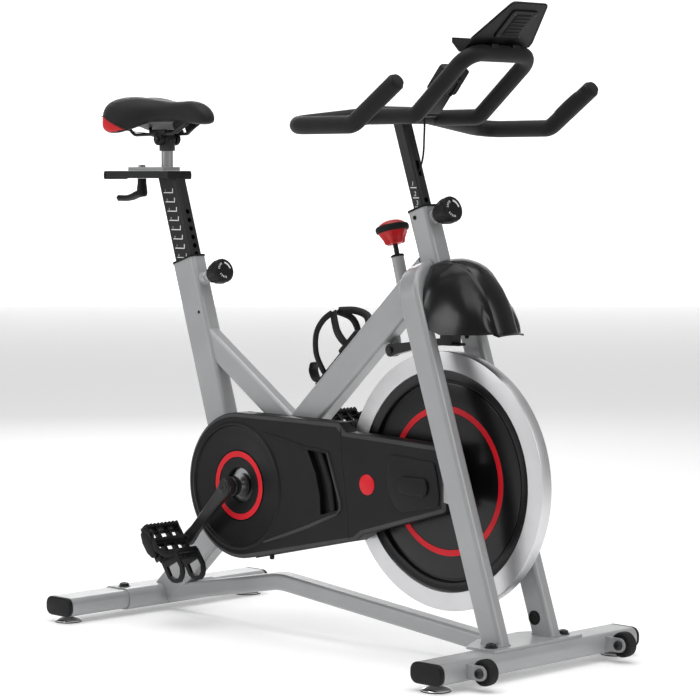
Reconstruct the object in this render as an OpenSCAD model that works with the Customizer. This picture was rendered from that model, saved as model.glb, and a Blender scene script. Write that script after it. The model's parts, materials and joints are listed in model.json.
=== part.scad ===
// Indoor spin bike: an assembly of separate frame, drive, seat and handlebar pieces.
// +X is forward (flywheel end), +Y is the rider's left, +Z is up, and the floor is z = 0.
// The origin is the middle of the footprint on the floor.

/* [Base] */
// Length of each floor stabilizer across the bike
stab_len = 560; // [480:10:640]
// Front-to-back width of a stabilizer tube
stab_w = 80; // [70:1:90]
// Height of a stabilizer tube
stab_h = 40; // [36:1:44]
// Underside of the stabilizers above the floor
stab_z = 15; // [13:1:18]
// Distance of each levelling foot from the middle plane
foot_y = 261; // [230:1:268]
// Diameter of a levelling foot
foot_d = 56; // [50:1:60]
// Diameter of a transport wheel
wheel_d = 50; // [46:1:51]

/* [Tubes] */
// Wall of every steel tube
wall = 2.5; // [2:0.1:3]
// Lean of the head tube and fork legs from vertical
head_lean = 18.5; // [17:0.1:20]
// Lean of the seat tube from vertical
seat_lean = 17.4; // [16:0.1:19]
// Distance from the middle plane to the centre of each fork leg
leg_y = 74; // [72:1:78]

/* [Drive] */
// Radius of the flywheel
fly_r = 255; // [240:1:258]
// Radius of the belt pulley on the crank
big_pulley_r = 105; // [95:1:110]
// Radius of the belt pulley on the flywheel
small_pulley_r = 27; // [24:1:32]
// Length of a crank arm between centres
crank_len = 170; // [165:1:175]
// Direction of the right crank arm, in degrees up from straight ahead
crank_angle = 225; // [215:1:235]

/* [Seat and bars] */
// Width of the seat post, front to back
post_w = 56; // [52:1:57]
// Thickness of the seat post, side to side
post_t = 30; // [26:1:31]
// Side of the square handlebar post
bar_post_w = 28; // [26:1:30]
// Radius of the padded handlebar
bar_r = 17; // [15:0.5:18]
// Height of the console's screen face
console_len = 62; // [58:1:70]

/* [Hidden] */
$fn = 48;

// Gap between pieces of different bodies, and radial gap of a shaft in its bore
gap = 0.35;
fit_gap = 0.05;

// Base
rear_x = -500;
front_x = 566;
sleeve_t = 3;
sleeve_half = 125;
cap_len = 10;
stab_top = stab_z + stab_h;
stab_mid = stab_z + stab_h / 2;
foot_stem_r = 5;
wheel_x = 636;
ear_x = front_x + stab_w / 2 - 6;
wheel_y = 202;
wheel_z = 36;
wheel_w = 22;
fork_t = 5;
wheel_pin_r = 5;

// Frame tubes: a point on each axis, and the section
main_pt = [245, 702.5];
main_slope = 42.77;
main_h = 64;
main_w = 42;
main_down = 1010;
main_up = 90;
seat_pt = [-402.6, 765];
seat_h = 68;
seat_w = 40;
seat_down = 537;
brace_pt = [-196, 507];
brace_slope = 33.8;
brace_h = 50;
brace_w = 30;
head_pt = [288, 880];
head_h = 48;
head_w = 44;
head_down = 150;
leg_h = 52;
leg_w = 30;
leg_foot = [547, 60];
leg_straight = 682;
leg_bend_r = 60;
leg_bend = 82;
base_h = 36;
base_w = 40;
base_bend = [-134.5, 97.8];
base_rise = 10.47;
base_rear_len = 351;
base_front_len = 642;
base_bend_r = 160;
// Its sine and cosine are short decimals, so that the bend and the straight meet exactly
base_turn = acos(0.96);

// Drive
crank_x = -188;
crank_z = 300;
fly_x = 356;
fly_z = 350.6;
fly_near = -15;
fly_far = 13;
rim_in_r = 218;
belt_y = -40;
belt_w = 14;
belt_t = 4;
belt_gap = 0.5;
spindle_r = 10;
spindle_end = 84;
shell_r = 24;
shell_half = 33;
axle_r = 6;
axle_plate_t = 6;
pedal_pin_r = 6;
pedal_y = 150;
pedal_w = 92;
arm_near = 80;
arm_far = 96;
guard_face = 62;
guard_back_y = 22;
guard_wall = 2.5;
guard_r = 153;

// Seat
rail_x = [-641, -436];
rail_w = 64;
rail_z = [941, 957];
rail_slot = 14;
rail_slot_len = 104;
plate_x = [-573, -459];
plate_t = 8;
saddle_post_x = -472;
saddle_post_r = 12.5;
tilt_z = 1026;
lever_x = -556;
post_out = 184;
post_in = 190;
seat_pin_d = -51;
seat_collar_end = 58;
seat_knob_near = 60;
hole_pitch = 19;
hole_r = 5.5;

// Handlebar
bar_post_out = 186;
bar_post_in = 120;
horn_y = 282;
loop_y = 91;
head_pin_d = -22;
head_collar_end = 33;
head_knob_near = 34;

// Pull pins and their knobs
pin_r = 4.5;
collar_r = 13;
knob_len = [30, 14];

// Brake
brake_pt = [224, 765];
brake_lean = 15;
rod_r = 5;
sleeve_r = 12.5;
arm_pivot = [207, 600];

// ---------- plain shapes

module rounded_rect(a, b, r) {
    square([a - 2 * r, b], center = true);
    square([a, b - 2 * r], center = true);
    for (x = [-1, 1], y = [-1, 1])
        translate([x * (a / 2 - r), y * (b / 2 - r)]) circle(r);
}

module solid_bar(a, b, r, len) {
    linear_extrude(len) rounded_rect(a, b, r);
}

module hollow_bar(a, b, r, len, t = wall) {
    difference() {
        solid_bar(a, b, r, len);
        translate([0, 0, -1]) solid_bar(a - 2 * t, b - 2 * t, r - t, len + 2);
    }
}

// A cylinder along Y between two positions
module y_rod(x, z, r, y0, y1) {
    translate([x, y1, z]) rotate([90, 0, 0]) cylinder(r = r, h = y1 - y0);
}

function unit(v) = v / norm(v);

// The points of one rounded corner at b, on the way from a to c
function corner(a, b, c, br, n) =
    let (d1 = unit(b - a), d2 = unit(c - b), turn = acos(d1 * d2))
    let (inward = unit(d2 - d1 * (d1 * d2)), o = b - d1 * br * tan(turn / 2) + inward * br)
    [for (k = [0 : n]) o + br * (d1 * sin(turn * k / n) - inward * cos(turn * k / n))];

// A list of points with every inner corner rounded to radius br
function rounded(p, br, n = 8) = concat(
    [p[0]],
    [for (i = [1 : len(p) - 2]) each corner(p[i - 1], p[i], p[i + 1], br, n)],
    [p[len(p) - 1]]
);

function heading(p, i) = unit(p[min(i + 1, len(p) - 1)] - p[max(i - 1, 0)]);

// A side direction at every point, carried along so that the tube doesn't twist
function sides_of(p, i, u) =
    i == len(p) ? [] :
    let (h = heading(p, i), v = unit(u - h * (u * h)))
    concat([v], sides_of(p, i + 1, v));

// A round tube swept along a list of points
module sweep(p, r, ring = 20, start = [0, 0, 1]) {
    n = len(p);
    u = sides_of(p, 0, start);
    pts = [for (i = [0 : n - 1], k = [0 : ring - 1])
        let (v = cross(heading(p, i), u[i]), a = 360 * k / ring)
        p[i] + r * (cos(a) * u[i] + sin(a) * v)];
    polyhedron(points = pts, faces = concat(
        [[for (k = [0 : ring - 1]) k]],
        [[for (k = [0 : ring - 1]) (n - 1) * ring + ring - 1 - k]],
        [for (i = [0 : n - 2], k = [0 : ring - 1])
            let (next = (k + 1) % ring)
            [i * ring + k, (i + 1) * ring + k, (i + 1) * ring + next, i * ring + next]]
    ));
}

// ---------- places

module at_head() { translate([head_pt[0], 0, head_pt[1]]) rotate([0, -head_lean, 0]) children(); }
module at_seat() { translate([seat_pt[0], 0, seat_pt[1]]) rotate([0, -seat_lean, 0]) children(); }
module at_main() { translate([main_pt[0], 0, main_pt[1]]) rotate([0, 90 - main_slope, 0]) children(); }
module at_brake() { translate([brake_pt[0], 0, brake_pt[1]]) rotate([0, -brake_lean, 0]) children(); }
module at_leg(side) {
    translate([leg_foot[0], side * leg_y, leg_foot[1]]) rotate([0, -head_lean, 0]) children();
}

// ---------- base

module stab_section(grow = 0) {
    rounded_rect(stab_w + 2 * grow, stab_h + 2 * grow, 16 + grow);
}

// A stabilizer tube lies along Y with its section in XZ
module stab_at(x, half) {
    translate([x, half, stab_mid]) rotate([90, 0, 0]) linear_extrude(2 * half) children();
}

module foot_bores(x, r) {
    for (s = [-1, 1]) translate([x, s * foot_y, 0]) cylinder(r = r, h = stab_z + 22);
}

module stabilizer(x) {
    difference() {
        union() {
            stab_at(x, stab_len / 2) difference() {
                stab_section();
                stab_section(-wall);
            }
            for (s = [-1, 1])
                translate([x, s * foot_y, stab_z + wall - 0.5]) cylinder(r = 11, h = 14);
        }
        foot_bores(x, foot_stem_r + fit_gap);
    }
}

module rear_stabilizer() {
    color("silver") stabilizer(rear_x);
}

// The ears that hold a transport wheel, welded to the tube's front
module wheel_ears(side) {
    for (e = [-1, 1]) {
        y = side * wheel_y + e * (wheel_w / 2 + 1 + fork_t / 2);
        translate([0, y + fork_t / 2, 0]) rotate([90, 0, 0]) linear_extrude(fork_t) difference() {
            union() {
                translate([wheel_x, wheel_z]) circle(14);
                translate([ear_x, wheel_z - 14]) square([wheel_x - ear_x, 28]);
            }
            translate([wheel_x, wheel_z]) circle(wheel_pin_r);
        }
    }
}

module front_stabilizer() {
    color("silver") {
        stabilizer(front_x);
        difference() {
            for (s = [-1, 1]) wheel_ears(s);
            stab_at(front_x, stab_len / 2) stab_section(-wall / 2);
        }
    }
}

module end_caps() {
    color("black") for (x = [rear_x, front_x], s = [-1, 1]) {
        translate([x, s * (stab_len / 2 + cap_len / 2) + cap_len / 2, stab_mid])
            rotate([90, 0, 0]) linear_extrude(cap_len) stab_section();
    }
}

module rear_bracket() {
    color("silver") stab_at(rear_x, sleeve_half) difference() {
        stab_section(sleeve_t);
        stab_section(0);
    }
}

module front_plate() {
    color("silver") translate([0, 0, stab_top]) linear_extrude(5)
        polygon([[486, -60], [520, -128], [592, -128], [592, 128], [520, 128], [486, 60]]);
}

// Two straight tubes and the bend between them, drawn from where the bend starts
module base_path() {
    translate([base_bend.x, 0, base_bend.y]) rotate([0, 90 - base_rise, 0]) {
        translate([0, 0, -base_rear_len]) hollow_bar(base_h, base_w, 9, base_rear_len);
        translate([base_bend_r, 0, 0]) {
            difference() {
                rotate([90, 0, 180]) rotate_extrude(angle = base_turn + 5)
                    translate([base_bend_r, 0]) difference() {
                        rounded_rect(base_h, base_w, 9);
                        rounded_rect(base_h - 2 * wall, base_w - 2 * wall, 9 - wall);
                    }
                rotate([0, base_turn, 0]) translate([-2 * base_bend_r, -base_w, 0])
                    cube([2 * base_bend_r, 2 * base_w, 60]);
            }
            rotate([0, base_turn, 0]) translate([-base_bend_r, 0, 0])
                hollow_bar(base_h, base_w, 9, base_front_len);
        }
    }
}

// The part of the main tube that stands over the base tube
module main_foot() {
    difference() {
        main_body();
        translate([-700, -60, -400]) cube([500, 120, 400 + stab_mid]);
    }
}

module base_tube() {
    color("silver") difference() {
        base_path();
        main_foot();
        stab_at(rear_x, 60) stab_section(sleeve_t);
        stab_at(front_x, 60) stab_section(0);
        translate([484, -60, stab_top]) cube([120, 120, 30]);
    }
}

// ---------- frame tubes

module main_body(grow = 0) {
    at_main() translate([0, 0, -main_down])
        solid_bar(main_h + 2 * grow, main_w + 2 * grow, 9 + grow, main_down + main_up);
}

module head_body(more = 0) {
    at_head() translate([0, 0, -head_down - more]) solid_bar(head_h, head_w, 8, head_down + more);
}

module seat_body() {
    at_seat() translate([0, 0, -seat_down]) solid_bar(seat_h, seat_w, 9, seat_down);
}

module brake_bore(r) {
    at_brake() translate([0, 0, -150]) cylinder(r = r, h = 200);
}

module main_tube() {
    color("silver") {
        difference() {
            at_main() translate([0, 0, -main_down]) hollow_bar(main_h, main_w, 9, main_down + main_up);
            head_body(45);
            stab_at(rear_x, 60) stab_section(sleeve_t);
            translate([-700, -60, -400]) cube([500, 120, 400 + stab_mid]);
            y_rod(crank_x, crank_z, shell_r, -60, 60);
            brake_bore(sleeve_r);
        }
        difference() {
            at_brake() translate([0, 0, -150]) cylinder(r = sleeve_r, h = 174);
            at_main() translate([main_h / 2, -60, -300]) cube([200, 120, 600]);
            brake_bore(rod_r + gap);
        }
        // Lug under the tube that carries the brake arm's pivot
        difference() {
            translate([arm_pivot[0], 14, arm_pivot[1]]) rotate([90, 0, 0]) linear_extrude(6) hull() {
                circle(11);
                translate([-8, 40]) circle(11);
            }
            main_body();
            y_rod(arm_pivot[0], arm_pivot[1], 5, 0, 30);
        }
    }
}

module seat_tube() {
    color("silver") {
        difference() {
            at_seat() translate([0, 0, -seat_down]) hollow_bar(seat_h, seat_w, 9, seat_down);
            main_body();
            y_rod(crank_x, crank_z, shell_r, -60, 60);
            at_seat() pin_bore(seat_pin_d);
        }
        at_seat() pin_collar(seat_pin_d, seat_h / 2, seat_collar_end);
    }
}

// The hole for a pull pin in the front wall of a post's outer tube
module pin_bore(d, r = pin_r + fit_gap) {
    translate([0, 0, d]) rotate([0, 90, 0]) cylinder(r = r, h = 100);
}

// The welded collar that guides a pull pin
module pin_collar(d, face, end) {
    difference() {
        translate([face - 1, 0, d]) rotate([0, 90, 0]) {
            cylinder(r = collar_r, h = (end - face) / 2 + 1);
            cylinder(r = collar_r - 3, h = end - face + 1);
        }
        pin_bore(d);
    }
}

module brace_tube() {
    color("silver") difference() {
        translate([brace_pt[0], 0, brace_pt[1]]) rotate([0, 90 + brace_slope, 0])
            translate([0, 0, -180]) hollow_bar(brace_h, brace_w, 7, 340);
        main_body();
        seat_body();
    }
}

module head_tube() {
    color("silver") {
        difference() {
            at_head() translate([0, 0, -head_down]) hollow_bar(head_h, head_w, 8, head_down);
            at_head() pin_bore(head_pin_d);
        }
        at_head() pin_collar(head_pin_d, head_h / 2, head_collar_end);
    }
}

// The left fork leg: straight, then bent in to the head tube, with the plate that holds the axle
module fork_leg() {
    difference() {
        at_leg(1) {
            translate([0, 0, -30]) hollow_bar(leg_h, leg_w, 9, leg_straight + 30);
            translate([0, -leg_bend_r, leg_straight]) rotate([90, 0, 90])
                rotate_extrude(angle = leg_bend) translate([leg_bend_r, 0]) difference() {
                    rounded_rect(leg_w, leg_h, 9);
                    rounded_rect(leg_w - 2 * wall, leg_h - 2 * wall, 9 - wall);
                }
        }
        translate([400, -200, -100]) cube([400, 400, 100 + stab_top + 5]);
        head_body();
        main_body();
    }
    // Axle plate on the leg's inner face
    translate([0, leg_y - leg_w / 2, 0]) rotate([90, 0, 0]) linear_extrude(axle_plate_t) difference() {
        polygon([
            [fly_x - 18, fly_z - 20], [fly_x + 70, fly_z - 40], [fly_x + 108, fly_z - 40],
            [fly_x + 84, fly_z + 34], [fly_x + 40, fly_z + 34], [fly_x - 18, fly_z + 20]
        ]);
        translate([fly_x, fly_z]) circle(axle_r);
    }
}

module leg_right() { color("silver") mirror([0, 1, 0]) fork_leg(); }
module leg_left() { color("silver") fork_leg(); }

module bottom_bracket() {
    color("dimgray") difference() {
        y_rod(crank_x, crank_z, shell_r, -shell_half, shell_half);
        y_rod(crank_x, crank_z, spindle_r + fit_gap, -shell_half - 1, shell_half + 1);
    }
}

// ---------- guards

// Side outline of the belt guard, drawn in X and Z, pulled in by d
module guard_outline(d = 0) {
    translate([crank_x, crank_z]) circle(guard_r - d, $fn = 96);
    polygon([
        [crank_x - 4, crank_z + guard_r + 0.6 - d], [113, 452 - d], [127, 434 - d], [402 - d, 424 - d],
        [404 - d, 298 + d], [176, 232 + d], [141, 214 + d], [crank_x + 20, crank_z - guard_r - 1.5 + d],
        [crank_x, crank_z - 40]
    ]);
}

module guard_slab(y0, y1, d = 0) {
    translate([0, y1, 0]) rotate([90, 0, 0]) linear_extrude(y1 - y0) guard_outline(d);
}

module guard_right() {
    color("#1c1c1e") difference() {
        union() {
            guard_slab(-guard_face + 6, -guard_back_y - 3, 0);
            guard_slab(-guard_face, -guard_face + 6, 9);
            y_rod(crank_x, crank_z, 130, -guard_face - 3, -guard_face);
        }
        guard_slab(-guard_face + guard_wall, 0, 9 + guard_wall);
        y_rod(crank_x, crank_z, 27, -80, 0);
        // Slot in the front wall for the leg's axle plate
        translate([390, -leg_y + leg_w / 2 - 0.4, fly_z - 42]) cube([26, axle_plate_t + 0.8, 80]);
    }
}

module guard_back() {
    color("#1c1c1e") difference() {
        guard_slab(-guard_back_y - 3, -guard_back_y, 0);
        y_rod(crank_x, crank_z, shell_r + 1, -60, 0);
        y_rod(fly_x, fly_z, 36, -60, 0);
    }
}

module guard_left() {
    color("#1c1c1e") difference() {
        translate([crank_x, 33, crank_z]) rotate([90, 0, 0]) cylinder(r = 70, h = 11.5);
        y_rod(crank_x, crank_z, shell_r + 0.2, 0, 60);
        y_rod(crank_x, crank_z, 67, 10.5, 30.5);
    }
    color("#1c1c1e") difference() {
        y_rod(crank_x, crank_z, 67.5, 21.5, 24);
        y_rod(crank_x, crank_z, shell_r + 0.2, 0, 60);
    }
}

// ---------- drive

// The belt's flat outline: an arc round each pulley, joined by two straight runs
module belt_loop(grow) {
    to_fly = [fly_x - crank_x, fly_z - crank_z];
    apart = norm(to_fly);
    a = acos((big_pulley_r - small_pulley_r) / apart);
    translate([crank_x, crank_z]) rotate(atan2(to_fly.y, to_fly.x)) polygon(concat(
        arc_points([0, 0], big_pulley_r + grow, a, 360 - a, 60),
        arc_points([apart, 0], small_pulley_r + grow, -a, a, 24)
    ));
}

function arc_points(o, r, a0, a1, n) = [
    for (k = [0 : n]) let (a = a0 + (a1 - a0) * k / n) o + r * [cos(a), sin(a)]
];

module drive_belt() {
    color("black") translate([0, belt_y + belt_w / 2 - 1, 0]) rotate([90, 0, 0]) linear_extrude(belt_w - 2)
        difference() {
            belt_loop(belt_gap + belt_t);
            belt_loop(belt_gap);
        }
}

module flywheel_axle() {
    end = leg_y - leg_w / 2;
    color("gray") {
        y_rod(fly_x, fly_z, axle_r, -end, end);
        for (s = [-1, 1]) translate([fly_x, s * (end - axle_plate_t - 2) + 2, fly_z])
            rotate([90, 0, 0]) cylinder(r = 10, h = 4, $fn = 6);
    }
}

// Drawn in radius and distance towards the right side, then turned about the axle
module flywheel_disc() {
    color("#151515") difference() {
        translate([fly_x, 0, fly_z]) rotate([90, 0, 0]) rotate_extrude($fn = 96) {
            translate([0, -4]) square([rim_in_r, 9]);
            translate([0, -36]) square([24, 84]);
            translate([0, -belt_y - belt_w / 2]) square([small_pulley_r, belt_w]);
            translate([rim_in_r - 20, -9]) square([20, 20]);
            translate([0, -9]) square([62, 18]);
        }
        y_rod(fly_x, fly_z, axle_r + fit_gap, -60, 60);
    }
}

module flywheel_rim() {
    color("gainsboro") translate([fly_x, 0, fly_z]) rotate([90, 0, 0]) rotate_extrude($fn = 128)
        translate([rim_in_r, -fly_far]) square([fly_r - rim_in_r, fly_far - fly_near]);
}

module crank_spindle() {
    color("dimgray") {
        y_rod(crank_x, crank_z, spindle_r, -spindle_end, spindle_end);
        difference() {
            union() {
                y_rod(crank_x, crank_z, big_pulley_r, belt_y - belt_w / 2, belt_y + belt_w / 2);
                y_rod(crank_x, crank_z, 24, belt_y - 10, -shell_half - 1);
            }
            y_rod(crank_x, crank_z, big_pulley_r - 12, belt_y - belt_w / 2 - 1, belt_y - 3);
            y_rod(crank_x, crank_z, big_pulley_r - 12, belt_y + 3, belt_y + belt_w / 2 + 1);
        }
    }
}

function crank_tip(side) = [
    crank_x + side * crank_len * cos(crank_angle),
    crank_z + side * crank_len * sin(crank_angle)
];

module crank(side) {
    turn = side > 0 ? crank_angle : crank_angle + 180;
    tip = crank_tip(side);
    color("#202020") difference() {
        union() {
            translate([crank_x, -side * arm_far, crank_z]) rotate([90, 0, 0])
                translate([0, 0, side > 0 ? arm_near - arm_far : 0]) rotate([0, 0, turn])
                linear_extrude(arm_far - arm_near) {
                    polygon([[0, -15], [crank_len, -12], [crank_len, 12], [0, 15]]);
                    circle(18);
                    translate([crank_len, 0]) circle(14);
                }
            y_rod(crank_x, crank_z, 17, side > 0 ? -98 : 66, side > 0 ? -66 : 98);
            y_rod(tip.x, tip.y, pedal_pin_r, side > 0 ? -196 : 90, side > 0 ? -90 : 196);
        }
        y_rod(crank_x, crank_z, spindle_r, -spindle_end, spindle_end);
    }
}

module crank_right() { crank(1); }
module crank_left() { crank(-1); }

// ---------- pedals, drawn about their own pin and then tipped

module at_pedal(side) {
    tip = crank_tip(side);
    translate([tip.x, -side * pedal_y, tip.y]) rotate([0, side > 0 ? 52 : 40, 0]) children();
}

module pedal(side) {
    color("#161616") at_pedal(side) difference() {
        union() {
            rotate([90, 0, 0]) cylinder(r = 12, h = pedal_w, center = true);
            for (x = [-36, 36]) translate([x, 0, 0]) cube([8, pedal_w, 24], center = true);
            for (y = [-1, 1]) translate([0, y * (pedal_w / 2 - 3), 0]) cube([72, 6, 20], center = true);
            for (y = [-15, 15]) translate([0, y, 0]) cube([66, 5, 16], center = true);
        }
        rotate([90, 0, 0]) cylinder(r = pedal_pin_r + fit_gap, h = pedal_w + 20, center = true);
    }
}

module pedal_right() { pedal(1); }
module pedal_left() { pedal(-1); }

// The toe cage: two hoops in front of the pedal joined by a cross strap
module toe_cage(side) {
    color("black") at_pedal(side) {
        for (y = [-29, 29]) translate([40, y + 4, 0]) rotate([90, 0, 0]) linear_extrude(8) difference() {
            union() {
                translate([0, -10]) square([40, 52]);
                translate([40, 16]) circle(26);
            }
            translate([-1, -4]) square([41, 40]);
            translate([40, 16]) circle(20);
        }
        translate([41, -25, 36]) cube([10, 50, 6]);
    }
}

module toe_cage_right() { toe_cage(1); }
module toe_cage_left() { toe_cage(-1); }

// ---------- hood over the top of the flywheel

hood_rows = 14;
hood_cols = 28;
hood_z = [642, 789];
hood_half = 78;
// The rear edge lies on the front faces of the fork legs
function hood_back(z) = 380.4 - tan(head_lean) * (z - hood_z[0]);
function hood_f(v) = pow(1 - pow(v, 2.4), 1 / 2.4);
function super(c, n) = (c < 0 ? -1 : 1) * pow(abs(c), 2 / n);
function hood_point(i, j, t) =
    let (v = 0.997 * i / hood_rows, a = -90 + 180 * j / hood_cols)
    let (z = hood_z[0] + (hood_z[1] - hood_z[0] - t) * v, f = hood_f(v))
    let (lip = (i == 0 && t == 0) ? 8 : 0)
    [
        hood_back(z) + max((131 - t) * f * super(cos(a), 2.6), 0) + lip * cos(a),
        (hood_half - t) * min(1, f * 1.08) * super(sin(a), 2.6),
        z
    ];

// The four corners of one cell of a grid w points wide, and its two triangles
function quad(i, j, w, from = 0) = [for (k = [0, w, w + 1, 1]) from + i * w + j + k];
function split(q) = [[q[0], q[1], q[2]], [q[0], q[2], q[3]]];
function flipped(faces) = [for (f = faces) [f[0], f[2], f[1]]];

module hood() {
    rows = hood_rows;
    cols = hood_cols;
    outer = [for (i = [0 : rows], j = [0 : cols]) hood_point(i, j, 0)];
    inner = [for (i = [0 : rows], j = [0 : cols]) hood_point(i, j, 3)];
    n = (rows + 1) * (cols + 1);
    w = cols + 1;
    color("#0c0c0d") difference() {
        polyhedron(
            points = concat(outer, inner),
            faces = concat(
                [for (i = [0 : rows - 1], j = [0 : cols - 1]) each split(quad(i, j, w))],
                [for (i = [0 : rows - 1], j = [0 : cols - 1]) each flipped(split(quad(i, j, w, n)))],
                [for (j = [0 : cols - 1]) each [[j, j + 1, n + j + 1], [j, n + j + 1, n + j]]],
                [for (j = [0 : cols - 1]) let (a = rows * w + j)
                    each [[a, n + a + 1, a + 1], [a, n + a, n + a + 1]]],
                [for (i = [0 : rows - 1]) let (a = i * w)
                    each [[a, n + a, n + a + w], [a, n + a + w, a + w]]],
                [for (i = [0 : rows - 1]) let (a = i * w + cols)
                    each [[a, n + a + w, n + a], [a, a + w, n + a + w]]]
            )
        );
        head_body();
    }
}

// ---------- bottle cage on the upper face of the main tube

cage_r = 38;
cage_z = [-330, -180];
module bottle_cage() {
    color("#141414") at_main() translate([-main_h / 2 - cage_r - 5, 0, 0]) {
        // Strip along the tube
        translate([cage_r, -10, cage_z[0]]) cube([5, 20, cage_z[1] - cage_z[0]]);
        // Lower cup ring and upper arms
        for (z = [cage_z[0] + 8, cage_z[1] - 14]) translate([0, 0, z]) rotate([0, 0, 180 + 50])
            rotate_extrude(angle = 260) translate([cage_r, 0]) square([5, 12]);
        translate([cage_r - 40, -10, cage_z[0]]) cube([42, 20, 5]);
        // Side rails between the rings
        for (s = [-1, 1]) rotate([0, 0, s * 125]) translate([cage_r, -4, cage_z[0] + 14])
            cube([5, 8, cage_z[1] - cage_z[0] - 24]);
    }
}

// ---------- liners, bolts

module liner(h, w, r, ph, pw, pr, depth, pin_d) {
    difference() {
        union() {
            translate([0, 0, -depth]) solid_bar(h - 2 * wall, w - 2 * wall, r - wall, depth);
            solid_bar(h + 3, w + 3, r + 1, 4);
        }
        translate([0, 0, -depth - 1]) solid_bar(ph + 2 * gap, pw + 2 * gap, pr, depth + 6);
        pin_bore(pin_d, pin_r + gap);
    }
}

module seat_liner() {
    color("black") at_seat() liner(seat_h, seat_w, 9, post_w, post_t, 5, 70, seat_pin_d);
}

module head_liner() {
    color("black") at_head() liner(head_h, head_w, 8, bar_post_w, bar_post_w, 5, 60, head_pin_d);
}

module frame_bolts() {
    pin_half = wheel_w / 2 + 8;
    color("black") {
        for (s = [-1, 1]) {
            translate([rear_x, s * 105, stab_top + sleeve_t]) bolt_head(11, 7);
            translate([front_x - 3, s * 105, stab_top + 5]) bolt_head(11, 7);
            y_rod(wheel_x, wheel_z, wheel_pin_r, s * wheel_y - pin_half, s * wheel_y + pin_half);
            for (e = [-1, 1]) translate([wheel_x, s * wheel_y + e * pin_half + 2, wheel_z])
                rotate([90, 0, 0]) cylinder(r = 9, h = 4);
        }
        y_rod(arm_pivot[0], arm_pivot[1], 5, -12, 18);
    }
}

module bolt_head(r, h) {
    cylinder(r = r, h = h / 2);
    translate([0, 0, h / 2]) cylinder(r1 = r, r2 = r * 0.55, h = h / 2);
}

// ---------- feet and wheels

module foot(x, side) {
    color("gainsboro") translate([x, side * foot_y, 0]) {
        cylinder(r = foot_d / 2, h = 5);
        translate([0, 0, 5]) cylinder(r1 = foot_d / 2, r2 = 12, h = 6);
        cylinder(r = foot_stem_r, h = stab_z + 16);
    }
}

module foot_rear_right() { foot(rear_x, -1); }
module foot_rear_left() { foot(rear_x, 1); }
module foot_front_right() { foot(front_x, -1); }
module foot_front_left() { foot(front_x, 1); }

module transport_wheel(side) {
    color("black") translate([wheel_x, side * wheel_y, wheel_z]) rotate([90, 0, 0]) difference() {
        cylinder(r = wheel_d / 2, h = wheel_w, center = true);
        cylinder(r = wheel_pin_r + fit_gap, h = wheel_w + 2, center = true);
    }
}

module wheel_right() { transport_wheel(-1); }
module wheel_left() { transport_wheel(1); }

// ---------- seat

module seat_post() {
    color("#232323") difference() {
        at_seat() translate([0, 0, -post_in]) hollow_bar(post_w, post_t, 5, post_in + post_out + 20);
        translate([-700, -60, rail_z[0]]) cube([500, 120, 80]);
        for (i = [-6 : 8]) at_seat() pin_bore(seat_pin_d + i * hole_pitch, hole_r);
    }
}

// A bar with one long slot for the lever's stud, and a small cap at each end
module seat_rail() {
    color("#232323") difference() {
        translate([rail_x[0], -rail_w / 2, rail_z[0]])
            cube([rail_x[1] - rail_x[0], rail_w, rail_z[1] - rail_z[0]]);
        translate([rail_x[0] + 20, -rail_slot / 2, rail_z[0] - 1]) cube([rail_slot_len, rail_slot, 30]);
    }
    color("black") for (x = [rail_x[0] - 6, rail_x[1]])
        translate([x, -rail_w / 2 + 1, rail_z[0] + 1]) cube([6, rail_w - 2, 14]);
}

module seat_carriage() {
    color("silver") {
        difference() {
            translate([plate_x[0], -25, rail_z[1] + gap]) cube([plate_x[1] - plate_x[0], 50, plate_t]);
            translate([lever_x, 0, 900]) cylinder(r = 4 + fit_gap, h = 100);
        }
        translate([saddle_post_x, 0, rail_z[1] + gap + plate_t]) cylinder(r = saddle_post_r, h = 48);
    }
}

module seat_lever() {
    color("black") {
        translate([lever_x, 0, 907]) cylinder(r = 11, h = rail_z[0] - gap - 907);
        translate([lever_x, 0, 907]) cylinder(r = 4, h = rail_z[1] + plate_t + 4 - 907);
        translate([lever_x, 0, rail_z[1] + plate_t + 2 * gap]) cylinder(r = 8, h = 4);
        translate([lever_x - 78, -7, 901]) cube([78, 14, 7]);
        translate([lever_x, 0, 901]) cylinder(r = 11, h = 7);
    }
}

module saddle_clamp() {
    color("#1a1a1a") {
        difference() {
            translate([saddle_post_x, 0, 1000]) cylinder(r = 17, h = 30);
            translate([saddle_post_x, 0, 990]) cylinder(r = saddle_post_r, h = 24);
        }
        difference() {
            y_rod(saddle_post_x, tilt_z, 12, -15, 15);
            translate([saddle_post_x, 0, 990]) cylinder(r = saddle_post_r, h = 24);
        }
        y_rod(saddle_post_x, tilt_z, 5, -30, 30);
    }
}

module saddle_rails() {
    color("#101010") {
        for (s = [-1, 1]) {
            difference() {
                y_rod(saddle_post_x, tilt_z, 14, s > 0 ? 18 : -28, s > 0 ? 28 : -18);
                y_rod(saddle_post_x, tilt_z, 5 + fit_gap, -60, 60);
            }
            sweep(rounded([
                [-575, s * 40, 1074], [-550, s * 23, 1042], [-420, s * 23, 1042], [-372, s * 12, 1074]
            ], 14, 5), 3.5, 10, [0, 1, 0]);
        }
        for (x = [-575, -372]) translate([x - 8, -46, 1072]) cube([16, 92, 5]);
    }
}

// A plain solid with the saddle's outer size
module saddle() {
    color("#1e1e1e") hull() {
        for (s = [-1, 1]) {
            translate([-575, s * 62, 1095]) sphere(18, $fn = 32);
            translate([-560, s * 50, 1110]) sphere(17, $fn = 32);
            translate([-500, s * 52, 1104]) sphere(16, $fn = 32);
        }
        translate([-345, 0, 1096]) sphere(18, $fn = 32);
        translate([-400, 0, 1100]) sphere(22, $fn = 32);
    }
}

// ---------- pop pins and their knobs

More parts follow.
